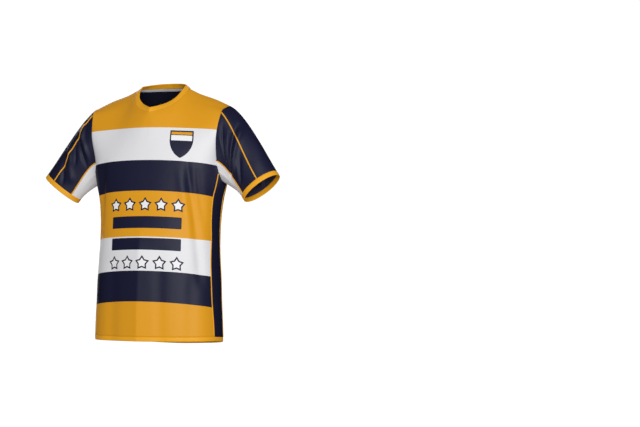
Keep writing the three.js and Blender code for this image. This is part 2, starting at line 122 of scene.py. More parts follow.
class SmoothTable:
    """A table of numbers with a smooth curve through its rows."""

    def __init__(self, rows: Sequence[Sequence[float]]) -> None:
        """Sorts the rows and finds the slope at each.

        Args:
            rows: Each row is the place, then the values there.
        """
        table = np.array(sorted(rows), float)
        self.at, self.values = table[:, 0], table[:, 1:]
        before = np.maximum(np.arange(len(table)) - 1, 0)
        after = np.minimum(np.arange(len(table)) + 1, len(table) - 1)
        run = (self.at[after] - self.at[before])[:, None]
        self.slopes = (self.values[after] - self.values[before]) / run

    def __call__(self, at: Points) -> Points:
        """Reads the curve.

        Args:
            at: Places, in any shape.

        Returns:
            The values, in the same shape with one more axis.
        """
        at = np.asarray(at, float)
        i = np.clip(np.searchsorted(self.at, at, side="right") - 1, 0, len(self.at) - 2)
        span = (self.at[i + 1] - self.at[i])[..., None]
        t = (at - self.at[i])[..., None] / span
        return cubic(self.values[i], self.slopes[i] * span, self.values[i + 1], self.slopes[i + 1] * span, t)


@dataclass(frozen=True)
class Crease:
    """A soft fold in the body: a ridge where height is above 0, and a trough below it.

    Attributes:
        face: The side of the shirt that it is on.
        x: Where it starts, across.
        z: Where it starts, in height.
        to_x: Where it ends, across.
        to_z: Where it ends, in height.
        width: Distance over which it fades to both sides.
        height: Height at its middle, outwards.
        bow: How far its middle leans aside from a straight line.
        sharp: Power of the fade. 2 is round, and less is sharper along the crest.
    """

    # Its ends fade over this distance to both sides of each end
    END_FADE: ClassVar[float] = 50.0
    # It fades where the part of the cloth's direction that faces its side is under 1 / TURN_FADE
    TURN_FADE: ClassVar[float] = 2.0

    face: Face
    x: float
    z: float
    to_x: float
    to_z: float
    width: float
    height: float
    bow: float = 0.0
    sharp: float = 2.0

    def lift(self, points: Points, normals: Points) -> Points:
        """Height of the fold.

        Args:
            points: Places on the cloth.
            normals: The cloth's outward directions there.

        Returns:
            How far each place is moved out.
        """
        facing = normals[..., 1] * self.face.value
        run, fall = self.to_x - self.x, self.to_z - self.z
        length = math.hypot(run, fall)
        px, pz = points[..., 0] - self.x, points[..., 2] - self.z
        along = (px * run + pz * fall) / length
        aside = (px * fall - pz * run) / length
        aside = aside - self.bow * np.sin(np.pi * np.clip(along / length, 0, 1))
        ends = smoothstep(-self.END_FADE, self.END_FADE, np.minimum(along, length - along))
        fade = ends * np.clip(facing * self.TURN_FADE, 0, 1)
        return self.height * fade * np.exp(-(np.abs(aside / self.width) ** self.sharp))


@dataclass(frozen=True)
class SleeveCrease:
    """A soft fold on a sleeve, from one place to another.

    Attributes:
        place: Where it starts round the armhole, counted as in ShirtForm.sleeve.
        along: Where it starts along the sleeve, from 0 at the armhole to 1 at the cuff.
        to_place: Where it ends round the sleeve.
        to_along: Where it ends along it.
        width: Distance over which it fades to both sides.
        height: Height at its middle, outwards.
    """

    # Cloth between two places, and between armhole and cuff
    PLACE: ClassVar[float] = 14.0
    LENGTH: ClassVar[float] = 200.0
    # Shares of its own length between which it rises at its start, and falls at its end
    START_FADE: ClassVar[tuple[float, float]] = (-0.1, 0.3)
    END_FADE: ClassVar[tuple[float, float]] = (-0.1, 0.35)

    place: float
    along: float
    to_place: float
    to_along: float
    width: float
    height: float

    def lift(self, place: Points, along: Points) -> Points:
        """Height of the fold.

        Args:
            place: Places round the sleeve.
            along: Places along it.

        Returns:
            How far each place is moved out.
        """
        half = FULL_ROUND / 2
        across = ((place - self.place + half) % FULL_ROUND - half) * self.PLACE
        down = (along - self.along) * self.LENGTH
        run = np.array([
            (self.to_place - self.place) * self.PLACE,
            (self.to_along - self.along) * self.LENGTH,
        ])
        length = float(np.hypot(*run))
        share = (across * run[0] + down * run[1]) / length**2
        aside = (across * run[1] - down * run[0]) / length
        ends = smoothstep(*self.START_FADE, share) * smoothstep(*self.END_FADE, 1 - share)
        return self.height * ends * np.exp(-((aside / self.width) ** 2))

    def behind(self) -> "SleeveCrease":
        """The same fold on the back of the sleeve."""
        return replace(self, place=FULL_ROUND - self.place, to_place=FULL_ROUND - self.to_place)


# The shirt's form, from the same sizes as the model's source


@dataclass
class ShirtForm:
    """The form that the cloth takes, from the cut of the shirt and its main creases.

    Attributes:
        rings: Level rings of the body: z, half width, front y, back y, y where it is widest,
            and y at the two seams of the side panel.
        square: 2 for an elliptic ring and more for a squarer one.
        hem_seam: Heights of the hem seam at the front centre, front seam, back seam and back centre.
        armpit: The same heights at the armhole's lower corners.
        armhole_dip: How far the side panel's top edge dips between its corners.
        armhole_front: Rows of the armhole's front edge, from its lower corner up: row, x, y, z.
        armhole_back: The same for its back edge.
        shoulder_seam: The shoulder seam from the neck (0) to its tip (1): place, x, y, z.
        neck_front: Neck seam and the collar's top edge from the front centre (0) to the shoulder (1).
        neck_back: The same from the back centre.
        pull_front: Slope of the front where it reaches its top edge, by share from the centre.
        pull_back: The same for the back.
        bottom_pull: Slope of both where they leave the height of the armhole's lower corners.
        cuff_turns: Place round the armhole, and the turn on the cuff's oval where it ends.
        sleeve_start: Place, direction in which the sleeve leaves the armhole, and its reach.
        sleeve_end_reach: The reach where it arrives at the cuff.
        cuff_centre: Middle of the left cuff's seam.
        cuff_up: Direction from there to the top of the cuff.
        sleeve_axis: Direction in which the cuff opens.
        cuff_half_height: Half of the cuff's oval, along cuff_up.
        cuff_half_width: Half of it from front to back.
        soft_reach: Share of the top edge that the cloth well below it is led by, to each side.
        soft_power: How soon that share grows with the distance from the edge.
        soft_spread: How far the nearer places of the edge count for more.
    """

    # Pieces in which the length of a ring is measured
    PIECES: ClassVar[int] = 60

    rings: SmoothTable = field(default_factory=lambda: SmoothTable((
        (-760, 195, -152, 92, -30, -54, 12),
        (-680, 192, -152, 92, -30, -56, 13),
        (-622, 189, -151, 92, -29, -58, 14),
        (-564, 187, -149, 94, -28, -58, 13),
        (-505, 183, -147, 97, -25, -54, 11),
        (-447, 181, -144, 100, -22, -48, 9),
        (-389, 182, -140, 104, -17, -48, 8),
        (-331, 188, -136, 108, -13, -48, 10),
        (-290, 198, -134, 108, -11, -46, 16),
        (-250, 206, -131, 107, -10, -44, 26),
    )))
    square: float = 2.3
    hem_seam: tuple[float, float, float, float] = (-723, -723, -727, -738)
    armpit: tuple[float, float, float, float] = (-238, -255, -262, -252)
    armhole_dip: float = 22
    armhole_front: tuple[tuple[float, ...], ...] = (
        (2, 196, -50, -222),
        (5, 202, -65, -150),
        (8, 209, -46, -83),
        (10, 214, -24, -68),
        (12, 217, -4, -63),
    )
    armhole_back: tuple[tuple[float, ...], ...] = (
        (2, 196, 36, -240),
        (5, 205, 60, -163),
        (8, 213, 50, -92),
        (10, 217, 26, -71),
        (12, 217, -4, -63),
    )
    shoulder_seam: SmoothTable = field(default_factory=lambda: SmoothTable((
        (0, 82, 2, -9),
        (0.28, 119, 1, -26),
        (0.65, 170, -2, -43),
        (1, 217, -4, -63),
    )))
    neck_front: SmoothTable = field(default_factory=lambda: SmoothTable((
        (0, 0, -92, -79, 0, -87, -66),
        (0.17, 22, -82, -74, 17, -73, -61),
        (0.42, 50, -66, -63, 41, -55, -51),
        (0.66, 70, -44, -45, 60, -38, -35),
        (0.84, 80, -21, -24, 69, -18, -15),
        (1, 82, 2, -9, 70, 2, 0),
    )))
    neck_back: SmoothTable = field(default_factory=lambda: SmoothTable((
        (0, 0, 62, -4, 0, 53, 10),
        (0.4, 38, 55, -4, 32, 46, 9),
        (0.75, 69, 33, -6, 58, 28, 5),
        (1, 82, 2, -9, 70, 2, 0),
    )))
    pull_front: SmoothTable = field(default_factory=lambda: SmoothTable((
        (0, 0, 60, 90),
        (0.25, -3, 80, 85),
        (0.5, -4, 105, 70),
        (1, 5, 165, 40),
    )))
    pull_back: SmoothTable = field(default_factory=lambda: SmoothTable((
        (0, 0, -95, 105),
        (0.25, -3, -105, 90),
        (0.5, -4, -125, 62),
        (1, 5, -175, 40),
    )))
    bottom_pull: float = 175
    cuff_turns: SmoothTable = field(default_factory=lambda: SmoothTable((
        (0, 0), (4, 73), (10, 136), (14, 180), (18, 226), (24, 280), (28, 360),
    )))
    sleeve_start: SmoothTable = field(default_factory=lambda: SmoothTable((
        (0, 0.91, 0, -0.41, 0.65),
        (4, 0.72, -0.12, -0.66, 0.7),
        (8, 0.75, -0.05, -0.6, 0.8),
        (10, 0.9, 0, -0.35, 0.8),
        (14, 0.86, 0, -0.5, 0.8),
        (18, 0.9, 0, -0.35, 0.8),
        (20, 0.75, -0.03, -0.6, 0.8),
        (24, 0.72, -0.06, -0.66, 0.7),
        (28, 0.91, 0, -0.41, 0.65),
    )))
    sleeve_end_reach: float = 0.9
    cuff_centre: tuple[float, float, float] = (318.5, -21, -289.5)
    cuff_up: tuple[float, float, float] = (0.8, -0.016, 0.6)
    sleeve_axis: tuple[float, float, float] = (0.59, -0.13, -0.79)
    cuff_half_height: float = 64
    cuff_half_width: float = 45
    soft_reach: float = 0.36
    soft_power: float = 0.4
    soft_spread: float = 0.55

    def ring_point(self, z: Points, angle: Points) -> Points:
        """A point of the level ring at z.

        Args:
            z: Heights.
            angle: -90 degrees at the front centre and +90 at the back, in radians.

        Returns:
            The points, on the wearer's left.
        """
        half, front, back, middle = np.moveaxis(self.rings(z)[..., :4], -1, 0)
        depth = np.where(angle < 0, middle - front, back - middle)
        power = 2 / self.square
        x = half * np.abs(np.cos(angle)) ** power
        y = middle + np.sign(angle) * depth * np.abs(np.sin(angle)) ** power
        return np.stack([x, y, np.broadcast_to(z, x.shape)], axis=-1)

    def seam_angle(self, z: Points, face: Face) -> Points:
        """The ring's angle at the front or back seam of the side panel.

        Args:
            z: Heights.
            face: Which seam.

        Returns:
            The angles, in radians.
        """
        _, front, back, middle, front_seam, back_seam = np.moveaxis(self.rings(z), -1, 0)
        aside = (front_seam if face is Face.FRONT else back_seam) - middle
        depth = np.where(aside < 0, middle - front, back - middle)
        return np.sign(aside) * np.arcsin((np.abs(aside) / depth) ** (self.square / 2))

    def ring_share(self, z: Points, start: Points, end: Points, share: Points) -> Points:
        """The point at a share of the ring's length between two angles.

        Args:
            z: Heights.
            start: Angle at share 0.
            end: Angle at share 1.
            share: The shares.

        Returns:
            The points.
        """
        z, start, end, share = np.broadcast_arrays(z, start, end, share)
        steps = np.linspace(0, 1, self.PIECES + 1).reshape((-1,) + (1,) * z.ndim)
        angles = start + (end - start) * steps
        line = self.ring_point(np.broadcast_to(z, angles.shape), angles)
        pieces = np.linalg.norm(np.diff(line, axis=0), axis=-1)
        lengths = np.concatenate([np.zeros((1,) + z.shape), np.cumsum(pieces, axis=0)])
        wanted = share * lengths[-1]
        i = np.clip((lengths < wanted).sum(axis=0), 1, self.PIECES)[None]
        low, high = (np.take_along_axis(lengths, k, 0)[0] for k in (i - 1, i))
        place = (i[0] - 1 + (wanted - low) / (high - low)) / self.PIECES
        return self.ring_point(z, start + (end - start) * place)

    def lower(self, face: Face | None, share: Points, up: Points) -> Points:
        """A point of the body below the armhole, on the wearer's left.

        Args:
            face: Front or back, or None for the side panel.
            share: From the centre to the seam, or across the side panel from the front.
            up: 0 at the hem seam and 1 at the armhole.

        Returns:
            The points.
        """
        share, up = np.broadcast_arrays(np.asarray(share, float), np.asarray(up, float))
        level = [a + (b - a) * up for a, b in zip(self.hem_seam, self.armpit)]
        if face is None:
            dip = self.armhole_dip * np.sin(np.pi * share) * up**4
            z = level[1] + (level[2] - level[1]) * share - dip
            start, end = self.seam_angle(z, Face.FRONT), self.seam_angle(z, Face.BACK)
            return self.ring_share(z, start, end, share)
        centre, seam = (level[0], level[1]) if face is Face.FRONT else (level[3], level[2])
        z = centre + (seam - centre) * share * share
        return self.ring_share(z, np.full(z.shape, face.value * math.pi / 2), self.seam_angle(z, face), share)

    def top(self, face: Face, share: Points) -> Points:
        """The top edge of the front or the back.

        Args:
            face: Front or back.
            share: 0 at the neck's centre, 0.5 where the neck meets the shoulder and 1 at its tip.

        Returns:
            The points.
        """
        neck = (self.neck_front if face is Face.FRONT else self.neck_back)(np.clip(share, 0, 0.5) / 0.5)
        seam = self.shoulder_seam((np.clip(share, 0.5, 1) - 0.5) / 0.5)
        return np.where((share > 0.5)[..., None], seam, neck[..., :3])

    def soft_top(self, face: Face, share: Points, up: Points) -> Points:
        """The top edge as the cloth below it feels it: its corners soften with the distance.

        Args:
            face: Front or back.
            share: From the centre line to the armhole.
            up: 0 at the armhole's lower corner and 1 at the top edge.

        Returns:
            The points.
        """
        reach = self.soft_reach * np.clip(1 - up, 0, 1) ** self.soft_power
        offsets = np.linspace(-1, 1, 13)
        weights = np.exp(-((offsets / self.soft_spread) ** 2))
        total = np.zeros(share.shape + (3,))
        for offset, weight in zip(offsets, weights / weights.sum()):
            at = share + offset * reach
            at = np.where(at > 1, 2 - at, at)
            point = self.top(face, np.abs(at))
            point[..., 0] *= np.where(at < 0, -1, 1)
            total += point * weight
        return total

    def upper(self, face: Face, share: Points, up: Points) -> Points:
        """A point of the body between the armhole's lower corner and the neck or shoulder seam.

        Args:
            face: Front or back.
            share: From the centre line to the armhole.
            up: 0 at the armhole's lower corner and 1 at the top edge.

        Returns:
            The points, on the wearer's left.
        """
        share, up = np.broadcast_arrays(np.asarray(share, float), np.asarray(up, float))
        pulls = self.pull_front if face is Face.FRONT else self.pull_back

        def column(at: Points) -> Points:
            """The cloth's columns at a share, before the armhole draws them in."""
            start = self.lower(face, at, np.ones_like(at))
            just_below = self.lower(face, at, np.full_like(at, 0.97))
            rise = unit(start - just_below) * self.bottom_pull
            return cubic(start, rise, self.soft_top(face, at, up), pulls(at), up[..., None])

        corner = self.lower(face, np.ones(1), np.ones(1))[0]
        rows = self.armhole_front if face is Face.FRONT else self.armhole_back
        armhole = SmoothTable(((0, *corner), *rows))
        edge = armhole(up * FRONT_END) - column(np.ones_like(share))
        return column(share) + edge * (share**3)[..., None]

    def cuff(self, place: Points, along: Points) -> Points:
        """A point of the left cuff's oval, moved along the sleeve.

        Args:
            place: Place round the armhole.
            along: Distance beyond the cuff seam.

        Returns:
            The points.
        """
        turn = np.radians(self.cuff_turns(place)[..., 0] % 360)[..., None]
        up, axis = unit(np.array(self.cuff_up)), unit(np.array(self.sleeve_axis))
        forward = unit(np.cross(axis, up))
        forward = -forward if forward[1] > 0 else forward
        oval = self.cuff_half_height * up * np.cos(turn) + self.cuff_half_width * forward * np.sin(turn)
        return np.array(self.cuff_centre) + oval + axis * np.asarray(along, float)[..., None]

    def sleeve(self, start: Points, place: Points, along: Points) -> Points:
        """A point of the left sleeve.

        Args:
            start: Points of the armhole.
            place: Their places round it, from the shoulder's tip (0) by the front (to 12), the
                underarm (to 16) and the back (to 28).
            along: 0 at the armhole and 1 at the cuff seam.

        Returns:
            The points.
        """
        end = self.cuff(place, np.zeros_like(place))
        chord = np.linalg.norm(end - start, axis=-1, keepdims=True)
        pull = self.sleeve_start(place)
        leave = unit(pull[..., :3]) * pull[..., 3:] * chord
        arrive = unit(np.array(self.sleeve_axis)) * self.sleeve_end_reach * chord
        return cubic(start, leave, end, arrive, along[..., None])


def mirrored(grid: Points) -> Points:
    """The same grid on the wearer's other side, with its columns turned round."""
    return (grid * np.array([-1, 1, 1]))[:, ::-1]


# Fine grids of the cloth


@dataclass
class ClothNet:
    """Fine grids of points over all the cloth, with the creases pressed in.

    Attributes:
        form: The form that the grids follow.
        creases: Folds of the body.
        sleeve_creases: Folds of each sleeve.
        half: Columns from the centre of the front or the back to its seam.
        low: Rows from the hem seam to the armhole.
        high: Rows from there to the neck.
        side: Columns of the side panel.
        sleeve: Rows of the sleeve.
        hem_height: Height of the hem band.
        cuff_width: Width of the cuff.
        plain: The grids without creases, by name.
        grids: The grids with the creases pressed in.
        normals: Outward direction at each of their points.
        steps: Step inwards at each of them, for 1 mm of wall.
    """

    # Rows of points over the hem band and the cuffs, and over the collar
    BAND_ROWS: ClassVar[int] = 7
    COLLAR_ROWS: ClassVar[int] = 9
    # A step inwards is lengthened at a sharp edge, and no more than this allows
    LEAST_LEAN: ClassVar[float] = 0.45

    form: ShirtForm
    creases: tuple[Crease, ...]
    sleeve_creases: dict[Hand, tuple[SleeveCrease, ...]]
    half: int = 84
    low: int = 96
    high: int = 72
    side: int = 20
    sleeve: int = 54
    hem_height: float = 12
    cuff_width: float = 14
    plain: dict[str, Points] = field(default_factory=dict)
    grids: dict[str, Points] = field(default_factory=dict)
    normals: dict[str, Points] = field(default_factory=dict)
    steps: dict[str, Points] = field(default_factory=dict)

    def body(self, face: Face) -> Points:
        """The front or the back from hem seam to neck, both halves.

        Args:
            face: Front or back.

        Returns:
            Its grid.
        """
        share = np.abs(np.arange(2 * self.half + 1) - self.half) / self.half
        low = self.form.lower(face, share[None], np.linspace(0, 1, self.low + 1)[:, None])
        high = self.form.upper(face, share[None], np.linspace(0, 1, self.high + 1)[1:, None])
        grid = np.concatenate([low, high])
        right = slice(0, self.half) if face is Face.FRONT else slice(self.half + 1, None)
        grid[:, right, 0] *= -1
        return grid

    def places(self) -> Points:
        """The columns of the left sleeve.

        Returns:
            The place round the armhole of each.
        """
        front = np.linspace(0, FRONT_END, self.high + 1)
        under = np.linspace(FRONT_END, UNDERARM_END, self.side + 1)[1:]
        back = np.linspace(UNDERARM_END, FULL_ROUND, self.high + 1)[1:]
        return np.concatenate([front, under, back])

    def seam_columns(self) -> tuple[int, int, int, int]:
        """The columns of the left sleeve where its panels meet.

        Returns:
            The front piping's, the underarm's two and the back piping's.
        """
        last = len(self.places()) - 1
        pipe, under = self.high // 3, self.high - self.high // 6
        return pipe, under, last - under, last - pipe

    def lay_out(self) -> None:
        """Makes the grids without creases, from the same seams all through."""
        form = self.form
        front, back = self.body(Face.FRONT), self.body(Face.BACK)
        across = np.linspace(0, 1, self.side + 1)[None]
        side = form.lower(None, across, np.linspace(0, 1, self.low + 1)[:, None])
        side[:, 0], side[:, -1] = front[: self.low + 1, -1], back[: self.low + 1, 0]
        ring = np.concatenate([front[self.low:, -1][::-1], side[-1, 1:], back[self.low + 1:, 0]])
        places = self.places()
        along = np.linspace(0, 1, self.sleeve + 1)[:, None]
        sleeve = form.sleeve(ring[None], np.broadcast_to(places, (self.sleeve + 1, len(places))), along)
        widths = np.linspace(0, self.cuff_width, self.BAND_ROWS)[:, None]
        cuff = form.cuff(np.broadcast_to(places, (self.BAND_ROWS, len(places))), widths)
        other = mirrored(side)
        seam = np.concatenate([front[0], side[0, 1:], back[0, 1:], other[0, 1:]])
        drop = np.linspace(-self.hem_height, 0, self.BAND_ROWS)[:, None, None] * np.array([0, 0, 1])
        self.plain = {
            "front": front,
            "back": back,
            "side_left": side,
            "side_right": other,
            "sleeve_left": sleeve,
            "sleeve_right": mirrored(sleeve),
            "cuff_left": cuff,
            "cuff_right": mirrored(cuff),
            "collar": self.collar(front, back),
            "hem": seam[None] + drop,
        }

    def collar(self, front: Points, back: Points) -> Points:
        """The collar band from the neck seam to its top edge, all round.

        Args:
            front: The front's grid.
            back: The back's grid.

        Returns:
            Its grid.
        """
        middle, reach = self.half, self.half // 2
        seams, tops = [], []
        for grid, table, skip in ((front, self.form.neck_front, 0), (back, self.form.neck_back, 1)):
            seam = grid[-1, middle - reach: middle + reach + 1]
            share = np.abs(np.arange(-reach, reach + 1)) / reach
            top = table(share)[:, 3:] * np.where(seam[:, :1] < 0, (-1, 1, 1), (1, 1, 1))
            seams.append(seam[skip:])
            tops.append(top[skip:])
        seam, top = np.concatenate(seams), np.concatenate(tops)
        up = np.linspace(0, 1, self.COLLAR_ROWS)[:, None, None]
        return seam + (top - seam) * up

    def measure(self, grids: dict[str, Points]) -> None:
        """Finds the outward direction at each point, shared by the pieces that meet there.

        Args:
            grids: The grids that make up the whole shirt.
        """
        flat = np.concatenate([g.reshape(-1, 3) for g in grids.values()])
        _, index = np.unique(np.round(flat, 3) + 0.0, axis=0, return_inverse=True)
        index = index.ravel()
        total, count = np.zeros((index.max() + 1, 3)), np.zeros(index.max() + 1)
        cells, start = [], 0
        for grid in grids.values():
            own = index[start: start + grid.shape[0] * grid.shape[1]].reshape(grid.shape[:2])
            start += own.size
            face = unit(np.cross(grid[1:, 1:] - grid[:-1, :-1], grid[1:, :-1] - grid[:-1, 1:]))
            for corner in (own[:-1, :-1], own[:-1, 1:], own[1:, 1:], own[1:, :-1]):
                cells.append((corner, face))
                np.add.at(total, corner, face)
                np.add.at(count, corner, 1)
        normal, lean = unit(total), np.zeros(len(total))
        for corner, face in cells:
            np.add.at(lean, corner, (face * normal[corner]).sum(-1))
        step = -normal / np.maximum(lean / np.maximum(count, 1), self.LEAST_LEAN)[:, None]
        start = 0
        for name, grid in grids.items():
            own = index[start: start + grid.shape[0] * grid.shape[1]].reshape(grid.shape[:2])
            start += own.size
            self.normals[name], self.steps[name] = normal[own], step[own]

    def press(self) -> None:
        """Presses the creases into the grids."""
        self.lay_out()
        self.measure(self.plain)
        along = np.linspace(0, 1, self.sleeve + 1)[:, None]
        for name, grid in self.plain.items():
            normal = self.normals[name]
            lift = sum((c.lift(grid, normal) for c in self.creases), np.zeros(grid.shape[:2]))
            for hand, creases in self.sleeve_creases.items():
                if name == f"sleeve_{hand.name.lower()}":
                    places = self.places()[None, :: hand.value]
                    lift = sum((c.lift(places, along) for c in creases), lift)
            self.grids[name] = grid + normal * lift[..., None]
        self.measure(self.grids)


# Meshes


def from_edge(grid: Points) -> tuple[Points, Points]:
    """Distances over the cloth.

    Args:
        grid: A piece's points.

    Returns:
        Distance from the first column along each row, and from the first row along each column.
    """
    across = np.linalg.norm(np.diff(grid, axis=1), axis=-1)
    along = np.linalg.norm(np.diff(grid, axis=0), axis=-1)
    rows = np.concatenate([np.zeros((grid.shape[0], 1)), np.cumsum(across, axis=1)], axis=1)
    columns = np.concatenate([np.zeros((1, grid.shape[1])), np.cumsum(along, axis=0)])
    return rows, columns


def cloth_map(grid: Points) -> dict[str, Points]:
    """The UV map that lays the knit on a piece, by distances over its cloth."""
    return {"Cloth": np.stack(from_edge(grid), axis=-1)}


def mesh_object(
    name: str,
    points: Points,
    faces: Points,
    maps: dict[str, Points],
    finishes: Sequence[bpy.types.Material],
    finish: Points,
) -> bpy.types.Object:
    """Makes an object in the scene.

    Args:
        name: Its name.
        points: Its vertices, in millimetres.
        faces: Its four-cornered faces.
        maps: Two numbers for each vertex, by the name of the UV map that holds them.
        finishes: Its materials.
        finish: The material of each face, as a place in that list.

    Returns:
        The object.
    """
    mesh = bpy.data.meshes.new(name)
    mesh.from_pydata((points * MM).tolist(), [], faces.tolist())
    for label, values in maps.items():
        layer = mesh.uv_layers.new(name=label)
        layer.data.foreach_set("uv", values[faces.ravel()].astype(np.float32).ravel())
    for material in finishes:
        mesh.materials.append(material)
    mesh.polygons.foreach_set("material_index", finish.astype(np.int32))
    mesh.polygons.foreach_set("use_smooth", np.ones(len(faces), bool))
    mesh.update()
    made = bpy.data.objects.new(name, mesh)
    bpy.context.scene.collection.objects.link(made)
    return made


@dataclass
class Shell:
    """A thin closed wall of cloth with rounded rims.

    Attributes:
        name: Name of the piece.
        outer: Grid of its outer side, whole to its seams.
        step: Step inwards at each point, for 1 mm of wall.
        wall: Its thickness.
        closed: True where the last column is the first one again.
        gap: How far it is drawn in from each seam.
        bulge: How far the middle of a closed band stands out from its seams.
    """

    # The middle of a rim stands out by this share of the wall
    RIM_PUSH: ClassVar[float] = 0.35
    # Less than 1 makes the swelling of a band flatter along its middle
    SWELL_POWER: ClassVar[float] = 0.6

    name: str
    outer: Points
    step: Points
    wall: float
    closed: bool = False
    gap: float = 0.12
    bulge: float = 0.0

    def drawn_in(self) -> Points:
        """Draws the outer grid in from its seams and swells it by its bulge.

        Returns:
            The grid.
        """
        grid = self.outer.copy()
        grid[0] += unit(self.outer[1] - self.outer[0]) * self.gap
        grid[-1] += unit(self.outer[-2] - self.outer[-1]) * self.gap
        if not self.closed:
            grid[:, 0] += unit(self.outer[:, 1] - self.outer[:, 0]) * self.gap
            grid[:, -1] += unit(self.outer[:, -2] - self.outer[:, -1]) * self.gap
        swell = np.sin(np.pi * np.linspace(0, 1, len(grid))) ** self.SWELL_POWER * self.bulge
        return grid - self.step * swell[:, None, None]

    def rims(self, rows: int, columns: int) -> list[Points]:
        """The rim's corners, as closed loops of places in the grid.

        Args:
            rows: Rows of points.
            columns: Columns of points.

        Returns:
            Each loop, turning the same way as the outer faces.
        """
        number = np.arange(rows * columns).reshape(rows, columns)
        if self.closed:
            return [number[0], number[-1][::-1]]
        last = number[-1, ::-1][1:]
        return [np.concatenate([number[0], number[1:, -1], last, number[1:-1, 0][::-1]])]

    def build(
        self,
        maps: dict[str, Points],
        outside: bpy.types.Material,
        inside: bpy.types.Material,
    ) -> bpy.types.Object:
        """Makes the piece.

        Args:
            maps: Grids of two numbers, by the name of the UV map that holds them.
            outside: Finish of its outer side and rims.
            inside: Finish of its inner side.

        Returns:
            The object.
        """
        grid = self.drawn_in()
        inner = grid + self.step * self.wall
        count = grid.shape[1] - 1 if self.closed else grid.shape[1]
        rows = grid.shape[0]
        seamed = np.arange(grid.shape[1]) % count
        number = np.arange(rows * count).reshape(rows, count)[:, seamed]
        quads = [number[:-1, :-1], number[:-1, 1:], number[1:, 1:], number[1:, :-1]]
        front = np.stack([q.ravel() for q in quads], axis=1)
        size = rows * count
        points = [grid[:, :count].reshape(-1, 3), inner[:, :count].reshape(-1, 3)]
        faces = [front, front[:, ::-1] + size]
        total = 2 * size
        sources = [np.arange(size), np.arange(size)]
        flat, under = points
        row, column = np.divmod(np.arange(size), count)
        near = np.clip(row, 1, rows - 2) * count + (column if self.closed else np.clip(column, 1, count - 2))
        for loop in self.rims(rows, count):
            push = unit(flat[loop] - flat[near[loop]]) * self.wall * self.RIM_PUSH
            points.append((flat[loop] + under[loop]) / 2 + push)
            sources.append(loop)
            middle = total + np.arange(len(loop))
            after, middle_after = np.roll(loop, -1), np.roll(middle, -1)
            faces.append(np.stack([after, loop, middle, middle_after], axis=1))
            faces.append(np.stack([middle_after, middle, loop + size, after + size], axis=1))
            total += len(loop)
        source = np.concatenate(sources)
        finish = np.zeros(sum(map(len, faces)), int)
        finish[len(front): 2 * len(front)] = 1
        flat_maps = {k: v[:, :count].reshape(-1, 2)[source] for k, v in maps.items()}
        return mesh_object(
            self.name, np.concatenate(points), np.concatenate(faces), flat_maps, (outside, inside), finish
        )


@dataclass
class Piping:
    """A rounded strip of piping sewn over a seam.

    Attributes:
        name: Name of the piece.
        line: Points of the seam.
        normal: The cloth's outward direction at each.
        width: Width of the strip.
        height: Height of its crown over the cloth.
        trims: How far short of the seam's two ends it stops.
    """

    # Points over the crown, the two at the foot coming after them, and the faces that close an end
    CROWN: ClassVar[int] = 6
    CAPS: ClassVar[tuple[tuple[int, ...], ...]] = ((0, 5, 6, 7), (0, 1, 4, 5), (1, 2, 3, 4))
    # The foot's half width as a share of the width, its depth, and the rise of the crown's edges
    FOOT: ClassVar[float] = 0.45
    SUNK: ClassVar[float] = 0.1
    RISE: ClassVar[float] = 0.15

    name: str
    line: Points
    normal: Points
    width: float = 3.8
    height: float = 1.3
    trims: tuple[float, float] = (0.3, 0.3)

    def build(self, finish: bpy.types.Material) -> bpy.types.Object:
        """Makes the piece.

        Args:
            finish: Its material.

        Returns:
            The object.
        """
        line = self.line.copy()
        line[0] += unit(line[1] - line[0]) * self.trims[0]
        line[-1] += unit(line[-2] - line[-1]) * self.trims[1]
        along = unit(np.gradient(line, axis=0))
        normal = self.normal.copy()
        normal[0], normal[-1] = normal[1], normal[-2]
        aside = unit(np.cross(along, normal))
        turns = np.linspace(0, math.pi, self.CROWN)
        foot = self.width * self.FOOT
        across = np.concatenate([np.cos(turns) * self.width / 2, [-foot, foot]])
        up = np.concatenate([np.sin(turns) * self.height + self.RISE, [-self.SUNK, -self.SUNK]])
        points = line[:, None] + aside[:, None] * across[:, None] + normal[:, None] * up[:, None]
        count, sides = len(line), len(across)
        ring = np.arange(count * sides).reshape(count, sides)
        after = np.roll(ring, -1, axis=1)
        faces = np.stack([ring[:-1], ring[1:], after[1:], after[:-1]], axis=-1).reshape(-1, 4)
        caps = [[[ends[i] for i in cap] for cap in self.CAPS] for ends in (ring[0], ring[-1][::-1])]
        lengths = np.concatenate([[0], np.cumsum(np.linalg.norm(np.diff(line, axis=0), axis=-1))])
        girth = np.linspace(-1, 1, sides) * self.width
        values = np.stack(np.broadcast_arrays(girth[None], lengths[:, None]), axis=-1).reshape(-1, 2)
        faces = np.concatenate([faces, *caps])
        return mesh_object(
            self.name, points.reshape(-1, 3), faces, {"Cloth": values}, (finish,), np.zeros(len(faces))
        )


# Finishes


def linear(colour: str) -> tuple[float, float, float, float]:
    """Turns an sRGB hex colour into the linear one that a shader takes."""
    parts = [int(colour[i: i + 2], 16) / 255 for i in (1, 3, 5)]
    return (*(p / 12.92 if p <= 0.04045 else ((p + 0.055) / 1.055) ** 2.4 for p in parts), 1.0)


def add_node(
    tree: bpy.types.NodeTree, kind: str, inputs: dict[str | int, object] | None = None, **settings: object
) -> bpy.types.Node:
    """Adds a node.

    Args:
        tree: The material's or the world's nodes.
        kind: The node's type.
        inputs: What each input takes, by its name or place: a value, or the output linked to it.
        settings: The node's own settings.

    Returns:
        The node.
    """
    made = tree.nodes.new(kind)
    for name, value in settings.items():
        setattr(made, name, value)
    for key, value in (inputs or {}).items():
        if isinstance(value, bpy.types.NodeSocket):
            tree.links.new(value, made.inputs[key])
        else:
            made.inputs[key].default_value = value
    return made


